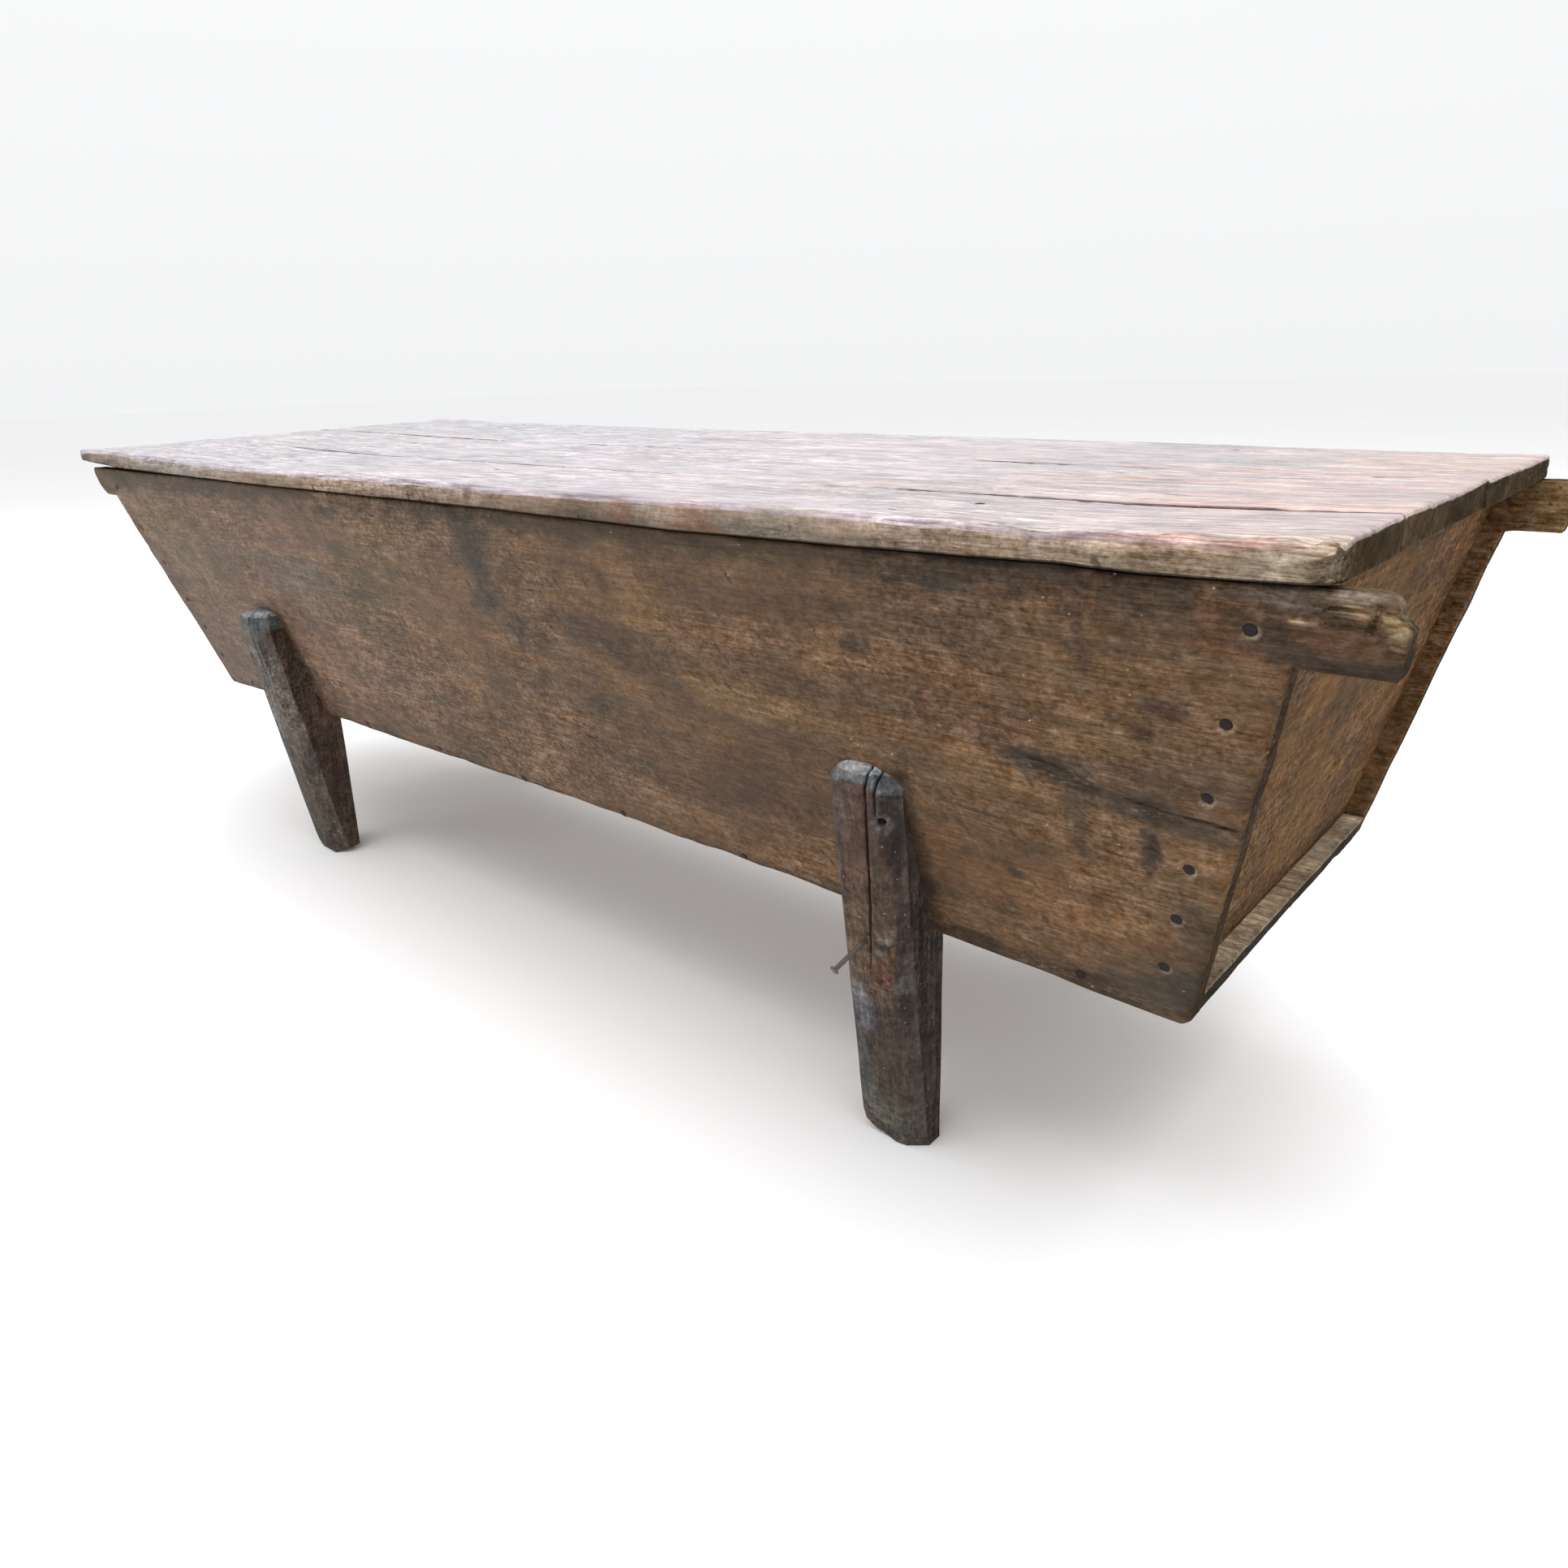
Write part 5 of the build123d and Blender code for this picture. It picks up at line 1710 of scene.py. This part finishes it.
frontIn = (0, math.cos(slope), math.sin(slope))
backIn = (0, -math.cos(slope), math.sin(slope))
for node, out, body, lift in (
    ("front_corner_nails", frontOut, "trough", lambda top: -0.5),
    ("back_corner_nails", backOut, "trough", lambda top: -0.5),
    ("front_bottom_nails", frontOut, "trough", lambda top: -0.5),
    ("back_bottom_nails", backOut, "trough", lambda top: -0.5),
    ("end_board_nails", (0, 0, -1), "trough", lambda top: 0.0),
    ("front_leg_nails", frontIn, "trough", lambda top: 0.2),
    ("back_leg_nails", backIn, "trough", lambda top: 0.2),
    ("batten_nails", (0, 0, 1), "lid", lidLift),
):
    forgeNails(node.replace("_nails", "_forged_nails"), node, out, body, lift)
print("nails forged")

# Pieces that keep their solids and only get a finish
keptFinishes = {
    "bent_nail": "wireNails",
    "proud_nail": "wireNails",
    "left_hinge_frame_leaf": "hinges",
    "right_hinge_frame_leaf": "hinges",
    "left_hinge_pin": "hinges",
    "right_hinge_pin": "hinges",
    "hinge_frame_nails": "hinges",
    "left_hinge_lid_leaf": "hinges",
    "right_hinge_lid_leaf": "hinges",
    "hinge_lid_nails": "hinges",
}
for node, finish in keptFinishes.items():
    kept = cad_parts[node].data.materials
    kept.clear()
    kept.append(finishes[finish])
print("ironwork finished")

# Floor and light
studio = {
    "floorSize": 60.0,
    "floorShade": 0.9,
    "worldColour": (0.985, 0.99, 1.0),
    "worldStrength": 0.97,
    "horizon": 0.94,
    # name, place, aim, size, power
    "overhead": ("overhead softbox", (0.2, 0.1, 4.0), (0, 0, 0), 5.0, 235.0),
    "fill": ("front softbox", (-2.2, -3.2, 1.5), (0, 0, 0.4), 2.0, 12.0),
}


def setStudio():
    half = studio["floorSize"] / 2
    mesh = bpy.data.meshes.new("floor")
    corners = [(-half, -half, 0), (half, -half, 0), (half, half, 0), (-half, half, 0)]
    mesh.from_pydata(corners, [], [(0, 1, 2, 3)])
    floor = bpy.data.objects.new("floor", mesh)
    scene.collection.objects.link(floor)
    b = Bench("pale floor")
    where = b.node("ShaderNodeTexCoord").outputs["Object"]
    cloud = b.noise(b.stretch(where, (1.5, 1.5, 1.5)), detail=3)
    shade = studio["floorShade"]
    pale, paler = (shade, shade, shade, 1), (shade * 1.04, shade * 1.04, shade * 1.04, 1)
    colour = b.blend(cloud, pale, paler)
    b.fill(b.shader.inputs, {"Base Color": colour, "Roughness": 0.9, "Specular IOR Level": 0.1})
    mesh.materials.append(b.material)
    world = bpy.data.worlds.new("soft room")
    world.use_nodes = True
    air = world.node_tree.nodes["Background"]
    w = world.node_tree
    height = w.nodes.new("ShaderNodeSeparateXYZ")
    w.links.new(w.nodes.new("ShaderNodeTexCoord").outputs["Generated"], height.inputs[0])
    haze = w.nodes.new("ShaderNodeMapRange")
    w.links.new(height.outputs["Z"], haze.inputs["Value"])
    haze.inputs["From Max"].default_value = 0.3
    sky = w.nodes.new("ShaderNodeMix")
    sky.data_type = "RGBA"
    w.links.new(haze.outputs[0], sky.inputs[0])
    sky.inputs[6].default_value = (*[c * studio["horizon"] for c in studio["worldColour"]], 1)
    sky.inputs[7].default_value = (*studio["worldColour"], 1)
    w.links.new(sky.outputs[2], air.inputs["Color"])
    air.inputs["Strength"].default_value = studio["worldStrength"]
    scene.world = world
    for name, place, aim, size, power in (studio["overhead"], studio["fill"]):
        data = bpy.data.lights.new(name, "AREA")
        data.shape = "SQUARE"
        data.size = size
        data.energy = power
        lamp = bpy.data.objects.new(name, data)
        lamp.location = place
        lamp.rotation_euler = (Vector(aim) - Vector(place)).to_track_quat("-Z", "Y").to_euler()
        scene.collection.objects.link(lamp)


setStudio()
print("studio set")

bpy.context.view_layer.update()
